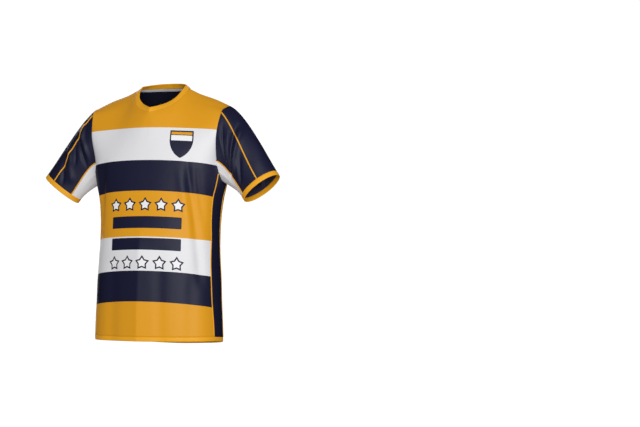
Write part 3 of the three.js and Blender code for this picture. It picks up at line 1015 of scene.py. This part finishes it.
def work_out(
    tree: bpy.types.NodeTree, steps: str, known: dict[str, bpy.types.NodeSocket]
) -> dict[str, bpy.types.NodeSocket]:
    """Adds the sums of a recipe, one node for each line.

    Args:
        tree: The material's nodes.
        steps: Lines of a new name, an operation, and what it works on: names or numbers.
        known: The values to start from.

    Returns:
        All the values by name.
    """
    values = dict(known)
    for line in steps.strip().splitlines():
        name, operation, *terms = line.split()
        inputs = {i: values[t] if t in values else float(t) for i, t in enumerate(terms)}
        values[name] = add_node(tree, "ShaderNodeMath", inputs, operation=operation).outputs[0]
    return values


class Dye(Enum):
    """The shirt's colours. The two colours of the inside are one navy cloth, painted darker as shade inside
    the body and lighter as light inside the sleeves.
    """

    GOLD = "#eca304"
    TRIM_GOLD = "#fbb010"
    NAVY = "#17193a"
    WHITE = "#efeff2"
    PRINT_WHITE = "#fafafc"
    # Painted shade: the navy of the inside, darkened for the shade inside the body
    INSIDE = "#0f1023"
    # Painted light: the same navy of the inside, lightened for the light that reaches into the sleeves
    SLEEVE_INSIDE = "#282b49"
    GREY = "#c4c4cc"


@dataclass(frozen=True)
class SatinJersey:
    """Interlock jersey of textured polyester, dyed and calendered.

    Filament yarn, pressed smooth, gives soft satin highlights.

    Attributes:
        name: Name of the material.
        dye: Its colour.
        roughness: Roughness of its shine.
        gloss: Strength of its shine.
        wale: Distance between two wales of the knit.
    """

    name: str
    dye: Dye
    roughness: float = 0.55
    gloss: float = 0.45
    # Wales of a sports interlock are about 0.8 mm apart, and they are drawn at 1.6 mm to show
    wale: float = 1.6

    def shader(self, colour: bpy.types.NodeSocket | None = None) -> tuple[bpy.types.Material, bpy.types.Node]:
        """Starts the material.

        Args:
            colour: None for one colour all over.

        Returns:
            The material, and its shader node.
        """
        material = bpy.data.materials.new(self.name)
        material.use_nodes = True
        tree = material.node_tree
        tree.nodes.clear()
        cloth = add_node(tree, "ShaderNodeUVMap", uv_map="Cloth").outputs["UV"]
        knit = add_node(
            tree, "ShaderNodeTexWave", {"Vector": cloth, "Scale": BAND_PERIOD / self.wale, "Distortion": 0.4},
            wave_type="BANDS", bands_direction="X",
        )
        # Hand-sized unevenness of worn cloth, about 40 mm across
        place = add_node(tree, "ShaderNodeTexCoord").outputs["Object"]
        rumple = add_node(tree, "ShaderNodeTexNoise", {"Vector": place, "Scale": 24.0, "Detail": 2.0})
        low = add_node(
            tree, "ShaderNodeBump", {"Strength": 0.22, "Distance": 0.004, "Height": rumple.outputs["Fac"]}
        )
        fine = add_node(
            tree, "ShaderNodeBump",
            {
                "Strength": 0.05,
                "Distance": 0.0001,
                "Height": knit.outputs["Fac"],
                "Normal": low.outputs["Normal"],
            },
        )
        shader = add_node(
            tree, "ShaderNodeBsdfPrincipled",
            {
                "Base Color": linear(self.dye.value),
                "Roughness": self.roughness,
                "IOR": 1.5,
                "Specular IOR Level": self.gloss,
                "Normal": fine.outputs["Normal"],
            },
        )
        add_node(tree, "ShaderNodeOutputMaterial", {"Surface": shader.outputs["BSDF"]})
        return material, shader

    def material(self) -> bpy.types.Material:
        """Makes the material in one colour."""
        return self.shader()[0]


@dataclass(frozen=True)
class HoopedJersey:
    """The same jersey with its hoops and marks printed on, by dye sublimation.

    The print is colour alone, so the gloss of the cloth runs on through it.

    Attributes:
        name: Name of the material.
        levels: Heights of the borders between hoops at the centre line, from the top down.
        marks: Recipe for the printed marks, from u and v in millimetres. u is 0 at the centre
            line and grows to the wearer's left, and v is the height. It ends with masks.
        layers: Masks in the order that they are printed, each with its dye.
        dyes: The hoops' dyes, from the top down.
        span: Height that the hoops' ramp covers.
    """

    name: str
    levels: tuple[float, ...]
    marks: str
    layers: tuple[tuple[str, Dye], ...]
    dyes: tuple[Dye, ...] = (Dye.GOLD, Dye.WHITE, Dye.NAVY, Dye.GOLD, Dye.WHITE, Dye.NAVY, Dye.GOLD)
    span: float = 800

    def material(self) -> bpy.types.Material:
        """Makes the material.

        Returns:
            It, with its hoops and marks.
        """
        material, shader = SatinJersey(self.name, Dye.GOLD).shader()
        tree = material.node_tree
        cloth = add_node(tree, "ShaderNodeUVMap", uv_map="Cloth").outputs["UV"]
        parts = add_node(tree, "ShaderNodeSeparateXYZ", {"Vector": cloth})
        known = {"u": parts.outputs["X"], "v": parts.outputs["Y"]}
        known = work_out(tree, f"down DIVIDE v -{self.span}", known)
        hoops = add_node(tree, "ShaderNodeValToRGB", {"Fac": known["down"]})
        ramp = hoops.color_ramp
        ramp.interpolation = "CONSTANT"
        ramp.elements.remove(ramp.elements[1])
        ramp.elements[0].position = 0
        ramp.elements[0].color = linear(self.dyes[0].value)
        for level, dye in zip(self.levels, self.dyes[1:]):
            ramp.elements.new(-level / self.span).color = linear(dye.value)
        colour = hoops.outputs["Color"]
        values = work_out(tree, self.marks, known)
        for mask, dye in self.layers:
            inputs = {"Factor": values[mask], 6: colour, 7: linear(dye.value)}
            printed = add_node(tree, "ShaderNodeMix", inputs, data_type="RGBA")
            colour = printed.outputs[2]
        tree.links.new(colour, shader.inputs["Base Color"])
        return material


# The player's number on the back, "1" towards the wearer's left and "0" towards the right
NUMBER = """
ox ADD u 55
oy ADD v 282.5
oya ABSOLUTE oy
oe SUBTRACT oya 53
of MAXIMUM oe 0
ox2 MULTIPLY ox ox
os MULTIPLY_ADD of of ox2
ol SQRT os
outer SUBTRACT ol 56.5
ie SUBTRACT oya 57
ig MAXIMUM ie 0
is MULTIPLY_ADD ig ig ox2
il SQRT is
slot SUBTRACT 8.3 il
nought MAXIMUM outer slot
sx SUBTRACT u 62.2
sxa ABSOLUTE sx
se SUBTRACT sxa 26
sy ADD v 283.5
sya ABSOLUTE sy
sf SUBTRACT sya 105.5
stem MAXIMUM se sf
fa MULTIPLY u 0.53
fb MULTIPLY_ADD v 0.848 fa
ftop ADD fb 110.3
fc MULTIPLY u -0.409
fd MULTIPLY_ADD v -0.913 fc
flow SUBTRACT fd 170.1
fleft SUBTRACT u 120.5
fright SUBTRACT 60 u
fh MAXIMUM fleft fright
flag MAXIMUM flow fh
fi MINIMUM stem flag
fj MAXIMUM fi ftop
fk ADD v 178
one MAXIMUM fj fk
number MINIMUM nought one
edge LESS_THAN number 0
body LESS_THAN number -5.6
"""

# A plain shield on the wearer's left breast, and two bars between rows of plain stars below
FRONT_MARKS = """
bx SUBTRACT u 112
bxa ABSOLUTE bx
by ADD v 156
below MINIMUM by 0
bc ADD bxa 25
bc2 MULTIPLY bc bc
bs MULTIPLY_ADD below below bc2
bl SQRT bs
bside SUBTRACT bl 60
btop SUBTRACT by 23
shield MAXIMUM bside btop
rim LESS_THAN shield 0
field LESS_THAN shield -4
bandy SUBTRACT by 2
banda ABSOLUTE bandy
bandw LESS_THAN banda 7.5
bandn LESS_THAN banda 9.5
band_line MULTIPLY field bandn
band MULTIPLY field bandw
low LESS_THAN by -7.5
foot MULTIPLY field low
x0 SUBTRACT u 12
xn DIVIDE x0 50
xr ROUND xn
xc MINIMUM xr 2
xd MAXIMUM xc -2
xm MULTIPLY xd 50
sx SUBTRACT x0 xm
up GREATER_THAN v -427
rowz MULTIPLY_ADD up 166 -512
sy SUBTRACT v rowz
ax ABSOLUTE sx
k1 MULTIPLY ax 0.809
k2 MULTIPLY_ADD sy -0.5878 k1
k3 MAXIMUM k2 0
k4 MULTIPLY k3 -1.618
qx ADD ax k4
k5 MULTIPLY k3 1.1756
qy ADD sy k5
m1 MULTIPLY qx -0.809
m2 MULTIPLY_ADD qy -0.5878 m1
m3 MAXIMUM m2 0
m4 MULTIPLY_ADD m3 1.618 qx
m5 MULTIPLY_ADD m3 1.1756 qy
rx ABSOLUTE m4
ry SUBTRACT m5 22
s1 MULTIPLY rx 0.5
s2 MULTIPLY_ADD ry 0.32 s1
star MULTIPLY s2 1.68
yb ADD v 427
yba ABSOLUTE yb
yc SUBTRACT yba 31
yd ABSOLUTE yc
ye SUBTRACT yd 14
xa ABSOLUTE x0
xe SUBTRACT xa 108
x2 MAXIMUM xe 0
y2 MAXIMUM ye 0
x3 MULTIPLY x2 x2
x4 MULTIPLY_ADD y2 y2 x3
x5 SQRT x4
bar SUBTRACT x5 3
print MINIMUM star bar
edge LESS_THAN print 0
body LESS_THAN print -4
"""


# Cut pieces and trims


@dataclass
class Finishes:
    """The materials that the shirt's pieces share."""

    front: bpy.types.Material
    back: bpy.types.Material
    navy: bpy.types.Material
    white: bpy.types.Material
    band: bpy.types.Material
    piping: bpy.types.Material
    # Inside of the body: the navy darkened as painted shade
    inside: bpy.types.Material
    # Inside of the sleeves: the navy lightened as painted light
    sleeve_inside: bpy.types.Material
    tape: bpy.types.Material

    @classmethod
    def dye(cls) -> "Finishes":
        """Makes the materials.

        Returns:
            All of them.
        """
        front = HoopedJersey(
            "Hooped interlock jersey, front",
            (-125, -217, -305, -436, -532, -620),
            FRONT_MARKS,
            (
                ("rim", Dye.NAVY),
                ("field", Dye.GOLD),
                ("foot", Dye.NAVY),
                ("band_line", Dye.NAVY),
                ("band", Dye.PRINT_WHITE),
                ("edge", Dye.NAVY),
                ("body", Dye.PRINT_WHITE),
            ),
        )
        back = HoopedJersey(
            "Hooped interlock jersey, back",
            (-137, -236, -325, -452, -553, -640),
            NUMBER,
            (("edge", Dye.NAVY), ("body", Dye.PRINT_WHITE)),
        )
        return cls(
            front=front.material(),
            back=back.material(),
            navy=SatinJersey("Navy interlock jersey", Dye.NAVY).material(),
            white=SatinJersey("White interlock jersey", Dye.WHITE).material(),
            band=SatinJersey("Gold rib band", Dye.TRIM_GOLD, roughness=0.55, wale=2.0).material(),
            piping=SatinJersey("Gold satin piping", Dye.TRIM_GOLD, roughness=0.4).material(),
            # Its colour is the navy darkened as painted shade
            inside=SatinJersey("Inside of the body", Dye.INSIDE, roughness=0.75, gloss=0.15).material(),
            # Its colour is the navy lightened as painted light
            sleeve_inside=SatinJersey("Inside of the sleeves", Dye.SLEEVE_INSIDE, roughness=0.75).material(),
            tape=SatinJersey("Twill neck tape", Dye.GREY, roughness=0.7).material(),
        )


def settle(
    piece: bpy.types.Object,
    node: str,
) -> None:
    """Puts a finished piece on the frame in place of its CAD node.

    Args:
        piece: The piece.
        node: The CAD node that it stands for.
    """
    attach(piece, "root")
    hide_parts(node)
    LOG.info("%s: %d faces", piece.name, len(piece.data.polygons))


@dataclass
class BodyPanels:
    """The front, the back and the two side panels.

    Attributes:
        net: The grids of the cloth.
        finishes: The materials.
        wall: Thickness of the cloth.
        front_cut: Cut of what shows of the front.
        back_cut: Cut of what shows of the back.
        side_cut: Cut of what shows of a side panel.
        front_borders: Borders of the front's hoops.
        back_borders: Borders of the back's.
    """

    net: ClothNet
    finishes: Finishes
    wall: float = 1.0
    # Cuts as (width, length, area), in metres and square metres
    front_cut: tuple[float, float, float] = (0.46, 0.75, 0.311)
    back_cut: tuple[float, float, float] = (0.45, 0.755, 0.321)
    side_cut: tuple[float, float, float] = (0.083, 0.471, 0.03)
    # Height of each border between two hoops at the seam, then at the centre line
    front_borders: tuple[tuple[float, float], ...] = (
        (-638, -620), (-549, -532), (-449, -436), (-323, -305), (-234, -217), (-134, -125),
    )
    back_borders: tuple[tuple[float, float], ...] = (
        (-647, -640), (-559, -553), (-459, -452), (-335, -325), (-244, -236), (-148, -137),
    )

    def print_map(self, face: Face) -> Points:
        """Where the print lies on the front or the back.

        Args:
            face: Which of them.

        Returns:
            Distance from the centre line towards the wearer's left, and height on the print.
        """
        grid = self.net.plain[face.name.lower()]
        half = self.net.half
        rows, _ = from_edge(grid)
        across = (rows - rows[:, half: half + 1]) * (-face.value)
        borders = np.array(self.front_borders if face is Face.FRONT else self.back_borders)
        share = np.abs(np.arange(2 * half + 1) - half) / half
        raised = np.interp(grid[..., 2], borders[:, 0], borders[:, 1] - borders[:, 0])
        return np.stack([across, grid[..., 2] + raised * share**2], axis=-1)

    def build(self) -> None:
        """Makes the panels."""
        net, done = self.net, self.finishes
        for face, cut, finish in (
            (Face.FRONT, self.front_cut, done.front),
            (Face.BACK, self.back_cut, done.back),
        ):
            name = face.name.lower()
            shell = Shell(f"{name}_cloth", net.grids[name], net.steps[name], self.wall)
            piece = shell.build({"Cloth": self.print_map(face)}, finish, done.inside)
            settle(piece, f"{name}_panel")
        for hand in Hand:
            name = f"side_{hand.name.lower()}"
            cut = self.side_cut
            shell = Shell(f"{name}_cloth", net.grids[name], net.steps[name], self.wall)
            piece = shell.build(cloth_map(net.plain[name]), done.navy, done.inside)
            settle(piece, f"side_panel_{hand.name.lower()}")


@dataclass
class Sleeves:
    """The four panels of each sleeve.

    Attributes:
        net: The grids of the cloth.
        finishes: The materials.
        wall: Thickness of the cloth.
        cuts: Cut of what shows of each panel, as for the body's. It is not used.
    """

    net: ClothNet
    finishes: Finishes
    wall: float = 1.0
    cuts: dict[str, tuple[float, float, float]] = field(default_factory=lambda: {
        "top": (0.143, 0.245, 0.0312),
        "front": (0.145, 0.233, 0.016),
        "under": (0.143, 0.126, 0.01),
        "back": (0.154, 0.236, 0.016),
    })

    def columns(self) -> dict[str, Points]:
        """The columns of the left sleeve's grid that each panel takes.

        Returns:
            Their numbers, by the panel's name.
        """
        last = len(self.net.places()) - 1
        front_pipe, front_under, back_under, back_pipe = self.net.seam_columns()
        return {
            "top": np.concatenate([np.arange(back_pipe, last), np.arange(0, front_pipe + 1)]),
            "front": np.arange(front_pipe, front_under + 1),
            "under": np.arange(front_under, back_under + 1),
            "back": np.arange(back_under, back_pipe + 1),
        }

    def build(self) -> None:
        """Makes the panels."""
        for hand in Hand:
            side = hand.name.lower()
            name = f"sleeve_{side}"
            turn = slice(None, None, hand.value)
            grid, step, plain = (g[name][:, turn] for g in (self.net.grids, self.net.steps, self.net.plain))
            for panel, columns in self.columns().items():
                taken = columns[turn]
                shell = Shell(f"sleeve_{panel}_{side}_cloth", grid[:, taken], step[:, taken], self.wall)
                white = panel == "under"
                outside = self.finishes.white if white else self.finishes.navy
                piece = shell.build(cloth_map(plain[:, taken]), outside, self.finishes.sleeve_inside)
                settle(piece, f"sleeve_{panel}_{side}")


@dataclass
class Bands:
    """The collar, the hem band and the cuffs, which are folded double, and the neck tape.

    Attributes:
        net: The grids of the cloth.
        finishes: The materials.
        wall: Thickness of a band.
        bulge: How far the middle of a band stands out.
        cuts: Width and length of what shows of each band.
        tape_cut: The same for the tape. It is not used.
        tape_width: Width of the tape.
        tape_wall: Its thickness.
        tape_drop: How far below the neck seam it starts.
        tape_depth: How far in it lies from the outer side of the back.
    """

    net: ClothNet
    finishes: Finishes
    wall: float = 2.2
    bulge: float = 0.35
    # Half the folded strip is what shows on the outside
    cuts: dict[str, tuple[float, float]] = field(default_factory=lambda: {
        "collar": (0.0178, 0.5),
        "hem": (0.0144, 1.04),
        "cuff": (0.0162, 0.345),
    })
    tape_cut: tuple[float, float] = (0.01, 0.217)
    tape_width: float = 8
    tape_wall: float = 0.7
    tape_drop: float = 0.6
    tape_depth: float = 1.7

    def band(self, name: str, node: str, cut: tuple[float, float]) -> None:
        """Makes one band.

        Args:
            name: Its grid.
            node: Its CAD node.
            cut: Width and length of what shows. It is not used.
        """
        grid, step = self.net.grids[name], self.net.steps[name]
        shell = Shell(f"{name}_rib", grid, step, self.wall, closed=True, bulge=self.bulge)
        # The rib's wales run across the band
        piece = shell.build(cloth_map(self.net.plain[name]), self.finishes.band, self.finishes.band)
        settle(piece, node)

    def tape(self) -> None:
        """Makes the tape over the seam inside the back neck."""
        net, reach = self.net, self.net.half // 2
        middle = slice(net.half - reach, net.half + reach + 1)
        # It falls as the cloth of the back does, from the neck seam to the eighth row
        row, below = net.grids["back"][-1, middle], net.grids["back"][-8, middle]
        step = net.steps["back"][-1, middle]
        drops = np.linspace(self.tape_width + self.tape_drop, self.tape_drop, 5)[:, None, None]
        grid = row + unit(below - row) * drops + step * self.tape_depth
        shell = Shell("neck_tape_twill", grid, np.broadcast_to(step, grid.shape), self.tape_wall, gap=0.0)
        piece = shell.build(cloth_map(grid), self.finishes.tape, self.finishes.tape)
        settle(piece, "neck_tape")

    def build(self) -> None:
        """Makes them all."""
        self.band("collar", "collar_band", self.cuts["collar"])
        self.band("hem", "hem_band", self.cuts["hem"])
        for hand in Hand:
            side = hand.name.lower()
            self.band(f"cuff_{side}", f"cuff_{side}", self.cuts["cuff"])
        self.tape()


@dataclass
class PipedSeams:
    """Gold piping on the seams of the side panels and the sleeves.

    Attributes:
        net: The grids of the cloth.
        finishes: The materials.
        underarm_trim: How far a piping stops short of the underarm.
        shoulder_trim: How far one stops short of the armhole's upper part.
        end_trim: How far all stop short of the hem and the cuffs.
    """

    net: ClothNet
    finishes: Finishes
    underarm_trim: float = 3.5
    shoulder_trim: float = 1.5
    end_trim: float = 0.3

    def sew(self, name: str, line: Points, normal: Points, trims: tuple[float, float]) -> None:
        """Makes the piping of one seam.

        Args:
            name: Its CAD node.
            line: Points of the seam.
            normal: The cloth's outward direction there.
            trims: How far it stops short of the two ends.
        """
        piece = Piping(f"{name}_satin", line, normal, trims=trims).build(self.finishes.piping)
        settle(piece, name)

    def build(self) -> None:
        """Makes it all."""
        net = self.net
        low = slice(0, net.low + 1)
        for panel, column, name in (
            ("front", -1, "side_front_left"),
            ("back", 0, "side_back_left"),
            ("front", 0, "side_front_right"),
            ("back", -1, "side_back_right"),
        ):
            line, normal = net.grids[panel][low, column], net.normals[panel][low, column]
            self.sew(f"piping_{name}", line, normal, (self.end_trim, self.underarm_trim))
        front_pipe, front_under, back_under, back_pipe = net.seam_columns()
        for hand in Hand:
            side = hand.name.lower()
            turn = slice(None, None, hand.value)
            grid, normal = net.grids[f"sleeve_{side}"][:, turn], net.normals[f"sleeve_{side}"][:, turn]
            for seam, column, trim in (
                ("sleeve_front", front_pipe, self.shoulder_trim),
                ("sleeve_back", back_pipe, self.shoulder_trim),
                ("under_front", front_under, self.underarm_trim),
                ("under_back", back_under, self.underarm_trim),
            ):
                trims = (trim, self.end_trim)
                self.sew(f"piping_{seam}_{side}", grid[:, column], normal[:, column], trims)


# The studio


@dataclass
class Studio:
    """A pale floor that sweeps up all round, soft lights and the camera. Its sizes are in metres.

    Attributes:
        axis: The point round which the camera stands, across and in depth.
        azimuth: The camera's place round it, in degrees.
        distance: Its distance.
        camera_height: Its height.
        lens: Its focal length in millimetres.
        yaw: How far it looks aside from the axis, in degrees.
        pitch: How far it looks up, in degrees.
        floor_height: Height of the floor.
        flat_radii: Circles of the flat part of the floor.
        sweep: Radius of the sweep between the floor and the wall.
        wall_height: Height of the wall's top over the floor.
        glow: Strength of the paper's own light.
        sky: Strength of the light all round.
        aim: Height at which the soft boxes point.
    """

    axis: tuple[float, float] = (0.0, -0.0236)
    azimuth: float = 28.0
    distance: float = 6.581
    camera_height: float = -0.427
    lens: float = 127.5
    yaw: float = 4.04
    pitch: float = 0.49
    floor_height: float = -1.02
    flat_radii: tuple[float, ...] = (2.5, 5.0, 8.0, 11.0)
    sweep: float = 3.0
    wall_height: float = 4.0
    glow: float = 0.75
    sky: float = 0.38
    aim: float = -0.4

    def floor(self) -> None:
        """Makes the floor and its sweep, all round the shirt."""
        low, edge = self.floor_height, self.flat_radii[-1]
        turns = np.linspace(0, math.pi / 2, 9)[1:]
        circles = [(r, low) for r in self.flat_radii]
        circles += [(edge + self.sweep * math.sin(t), low + self.sweep * (1 - math.cos(t))) for t in turns]
        circles.append((edge + self.sweep, low + self.wall_height))
        around = np.linspace(0, 2 * math.pi, 65)[:-1]
        points = [(r * math.cos(a), r * math.sin(a), h) for r, h in circles for a in around]
        count = len(around)
        faces = []
        for circle in range(len(circles) - 1):
            own, wider = circle * count, (circle + 1) * count
            for i in range(count):
                after = (i + 1) % count
                faces.append((own + i, wider + i, wider + after, own + after))
        faces.append(tuple(range(count)))
        mesh = bpy.data.meshes.new("floor")
        mesh.from_pydata(points, [], faces)
        mesh.polygons.foreach_set("use_smooth", np.ones(len(faces), bool))
        paper = bpy.data.materials.new("Matt backdrop paper")
        paper.use_nodes = True
        tree = paper.node_tree
        tree.nodes.clear()
        shader = add_node(
            tree, "ShaderNodeBsdfPrincipled",
            {
                "Base Color": linear("#f4f4f4"),
                "Roughness": 0.9,
                "Specular IOR Level": 0.1,
                # Bleached paper glows a little under studio light
                "Emission Color": (1, 1, 1, 1),
                "Emission Strength": self.glow,
            },
        )
        add_node(tree, "ShaderNodeOutputMaterial", {"Surface": shader.outputs["BSDF"]})
        mesh.materials.append(paper)
        floor = bpy.data.objects.new("floor", mesh)
        # The paper is far from the shirt, so it gives it no colour or light of its own
        floor.visible_diffuse = floor.visible_glossy = False
        bpy.context.scene.collection.objects.link(floor)

    def lamp(self, name: str, azimuth: float, height: float, away: float, size: float, power: float) -> None:
        """Hangs a soft box that points at the shirt.

        Args:
            name: Its name.
            azimuth: Where it stands round the shirt, in degrees as the camera's.
            height: Its height.
            away: Its distance from the middle of the shirt.
            size: Its side.
            power: Its power in watts.
        """
        light = bpy.data.lights.new(name, "AREA")
        light.shape, light.size, light.energy = "SQUARE", size, power
        lamp = bpy.data.objects.new(name, light)
        turn = math.radians(azimuth)
        lamp.location = (away * math.sin(turn), -away * math.cos(turn), height)
        lamp.rotation_euler = (Vector((0, 0, self.aim)) - lamp.location).to_track_quat("-Z", "Y").to_euler()
        lamp.visible_camera = False
        bpy.context.scene.collection.objects.link(lamp)

    def lights(self) -> None:
        """Sets the soft light all round, with a soft box before each of the two sides."""
        world = bpy.data.worlds.new("Studio")
        world.use_nodes = True
        world.node_tree.nodes.clear()
        tree = world.node_tree
        sky = add_node(tree, "ShaderNodeBackground", {"Color": (1, 1, 1, 1), "Strength": self.sky})
        add_node(tree, "ShaderNodeOutputWorld", {"Surface": sky.outputs[0]})
        # The white walls of the studio light the cloth, but are too far off to shine on it
        world.cycles_visibility.glossy = False
        bpy.context.scene.world = world
        for side, turn in (("front", 0), ("back", 180)):
            # Each stands 3 degrees aside of the direction from which that side is seen
            azimuth = self.azimuth + turn + 3
            self.lamp(f"Soft box, {side}", azimuth, height=0.1, away=3.6, size=3.2, power=100)

    def camera(self) -> None:
        """Puts the camera at the photograph's angle, with the shirt in the same part of the frame."""
        turn = math.radians(self.azimuth)
        data = bpy.data.cameras.new("Camera")
        data.lens, data.sensor_width = self.lens, 36.0
        data.clip_start, data.clip_end = 0.05, 60
        camera = bpy.data.objects.new("Camera", data)
        camera.location = (
            self.axis[0] + self.distance * math.sin(turn),
            self.axis[1] - self.distance * math.cos(turn),
            self.camera_height,
        )
        level = Matrix.Rotation(turn - math.radians(self.yaw), 3, "Z")
        raised = Matrix.Rotation(math.pi / 2 + math.radians(self.pitch), 3, "X")
        camera.rotation_euler = (level @ raised).to_euler()
        bpy.context.scene.collection.objects.link(camera)
        bpy.context.scene.camera = camera

    def set_up(self) -> None:
        """Makes it all."""
        self.floor()
        self.lights()
        self.camera()
        bpy.context.scene.view_settings.view_transform = "Standard"
        bpy.context.scene.view_settings.look = "None"


# The creases of the body, the front's first
BODY_CREASES = (
    Crease(Face.FRONT, 2, -430, -4, -770, 44, 11, sharp=1.2),
    # Pulled from the wearer's left armpit, down beside the seam
    Crease(Face.FRONT, 134, -236, 168, -560, 10, -8),
    Crease(Face.FRONT, 158, -252, 166, -385, 8, -5),
    Crease(Face.FRONT, 114, -262, 138, -420, 12, 3.5),
    Crease(Face.FRONT, 150, -540, 146, -770, 15, -3.5),
    # The right armpit's are shorter
    Crease(Face.FRONT, -140, -246, -158, -450, 10, -6.5),
    Crease(Face.FRONT, -154, -256, -160, -360, 8, -4),
    Crease(Face.FRONT, 62, -500, 66, -760, 18, -3),
    Crease(Face.FRONT, -92, -520, -95, -760, 24, -4),
    # The same on the back, where the wearer's right side is pulled more
    Crease(Face.BACK, -148, -196, -164, -400, 10, -7.5),
    Crease(Face.BACK, -127, -290, -153, -575, 11, -8.5),
    Crease(Face.BACK, -158, -325, -158, -490, 9, -4.5),
    Crease(Face.BACK, 140, -215, 156, -390, 11, -5),
    Crease(Face.BACK, 120, -330, 138, -540, 14, -5),
    Crease(Face.BACK, -84, -480, -86, -770, 36, 9, sharp=1.2),
    Crease(Face.BACK, 86, -480, 88, -770, 30, 8, sharp=1.3),
    Crease(Face.BACK, 12, -330, 14, -760, 26, -5),
)
# Folds between the piping and the underarm of a sleeve that hangs open
OPEN_FOLDS = (
    SleeveCrease(5.0, 0.10, 9.4, 0.34, 8, -5),
    SleeveCrease(4.4, 0.24, 8.8, 0.42, 9, 4),
    SleeveCrease(1.4, 0.31, 10.8, 0.52, 7, -7),
    SleeveCrease(1.2, 0.39, 9.6, 0.61, 8, 6),
    SleeveCrease(4.6, 0.58, 9.4, 0.90, 9, -5),
    SleeveCrease(1.2, 0.28, 3.8, 0.44, 9, 3.5),
    SleeveCrease(0.4, 0.55, 3.2, 0.95, 16, 3),
)
# Folds of a sleeve that is seen from its edge, which break its piping twice
BROKEN_FOLDS = (
    SleeveCrease(2.8, 0.19, 6.0, 0.29, 8, 4.5),
    SleeveCrease(3.4, 0.32, 9.0, 0.19, 9, 5.5),
    SleeveCrease(3.4, 0.41, 9.6, 0.30, 8, -6.5),
    SleeveCrease(4.0, 0.46, 7.0, 0.56, 7, -5),
    SleeveCrease(2.4, 0.56, 5.4, 0.65, 8, 5),
    SleeveCrease(4.4, 0.66, 8.6, 0.80, 15, 4.5),
    SleeveCrease(3.2, 0.70, 6.4, 0.95, 8, -6),
)
SLEEVE_CREASES = {
    Hand.LEFT: OPEN_FOLDS + tuple(fold.behind() for fold in BROKEN_FOLDS),
    Hand.RIGHT: BROKEN_FOLDS + tuple(fold.behind() for fold in OPEN_FOLDS),
}


def main() -> None:
    """Builds the shirt on its frame, then the studio."""
    logging.basicConfig(level=logging.INFO, format="%(message)s")
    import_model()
    net = ClothNet(ShirtForm(), BODY_CREASES, SLEEVE_CREASES)
    net.press()
    finishes = Finishes.dye()
    for part in (BodyPanels, Sleeves, Bands, PipedSeams):
        part(net, finishes).build()
    Studio().set_up()


if __name__ == "__main__":
    main()
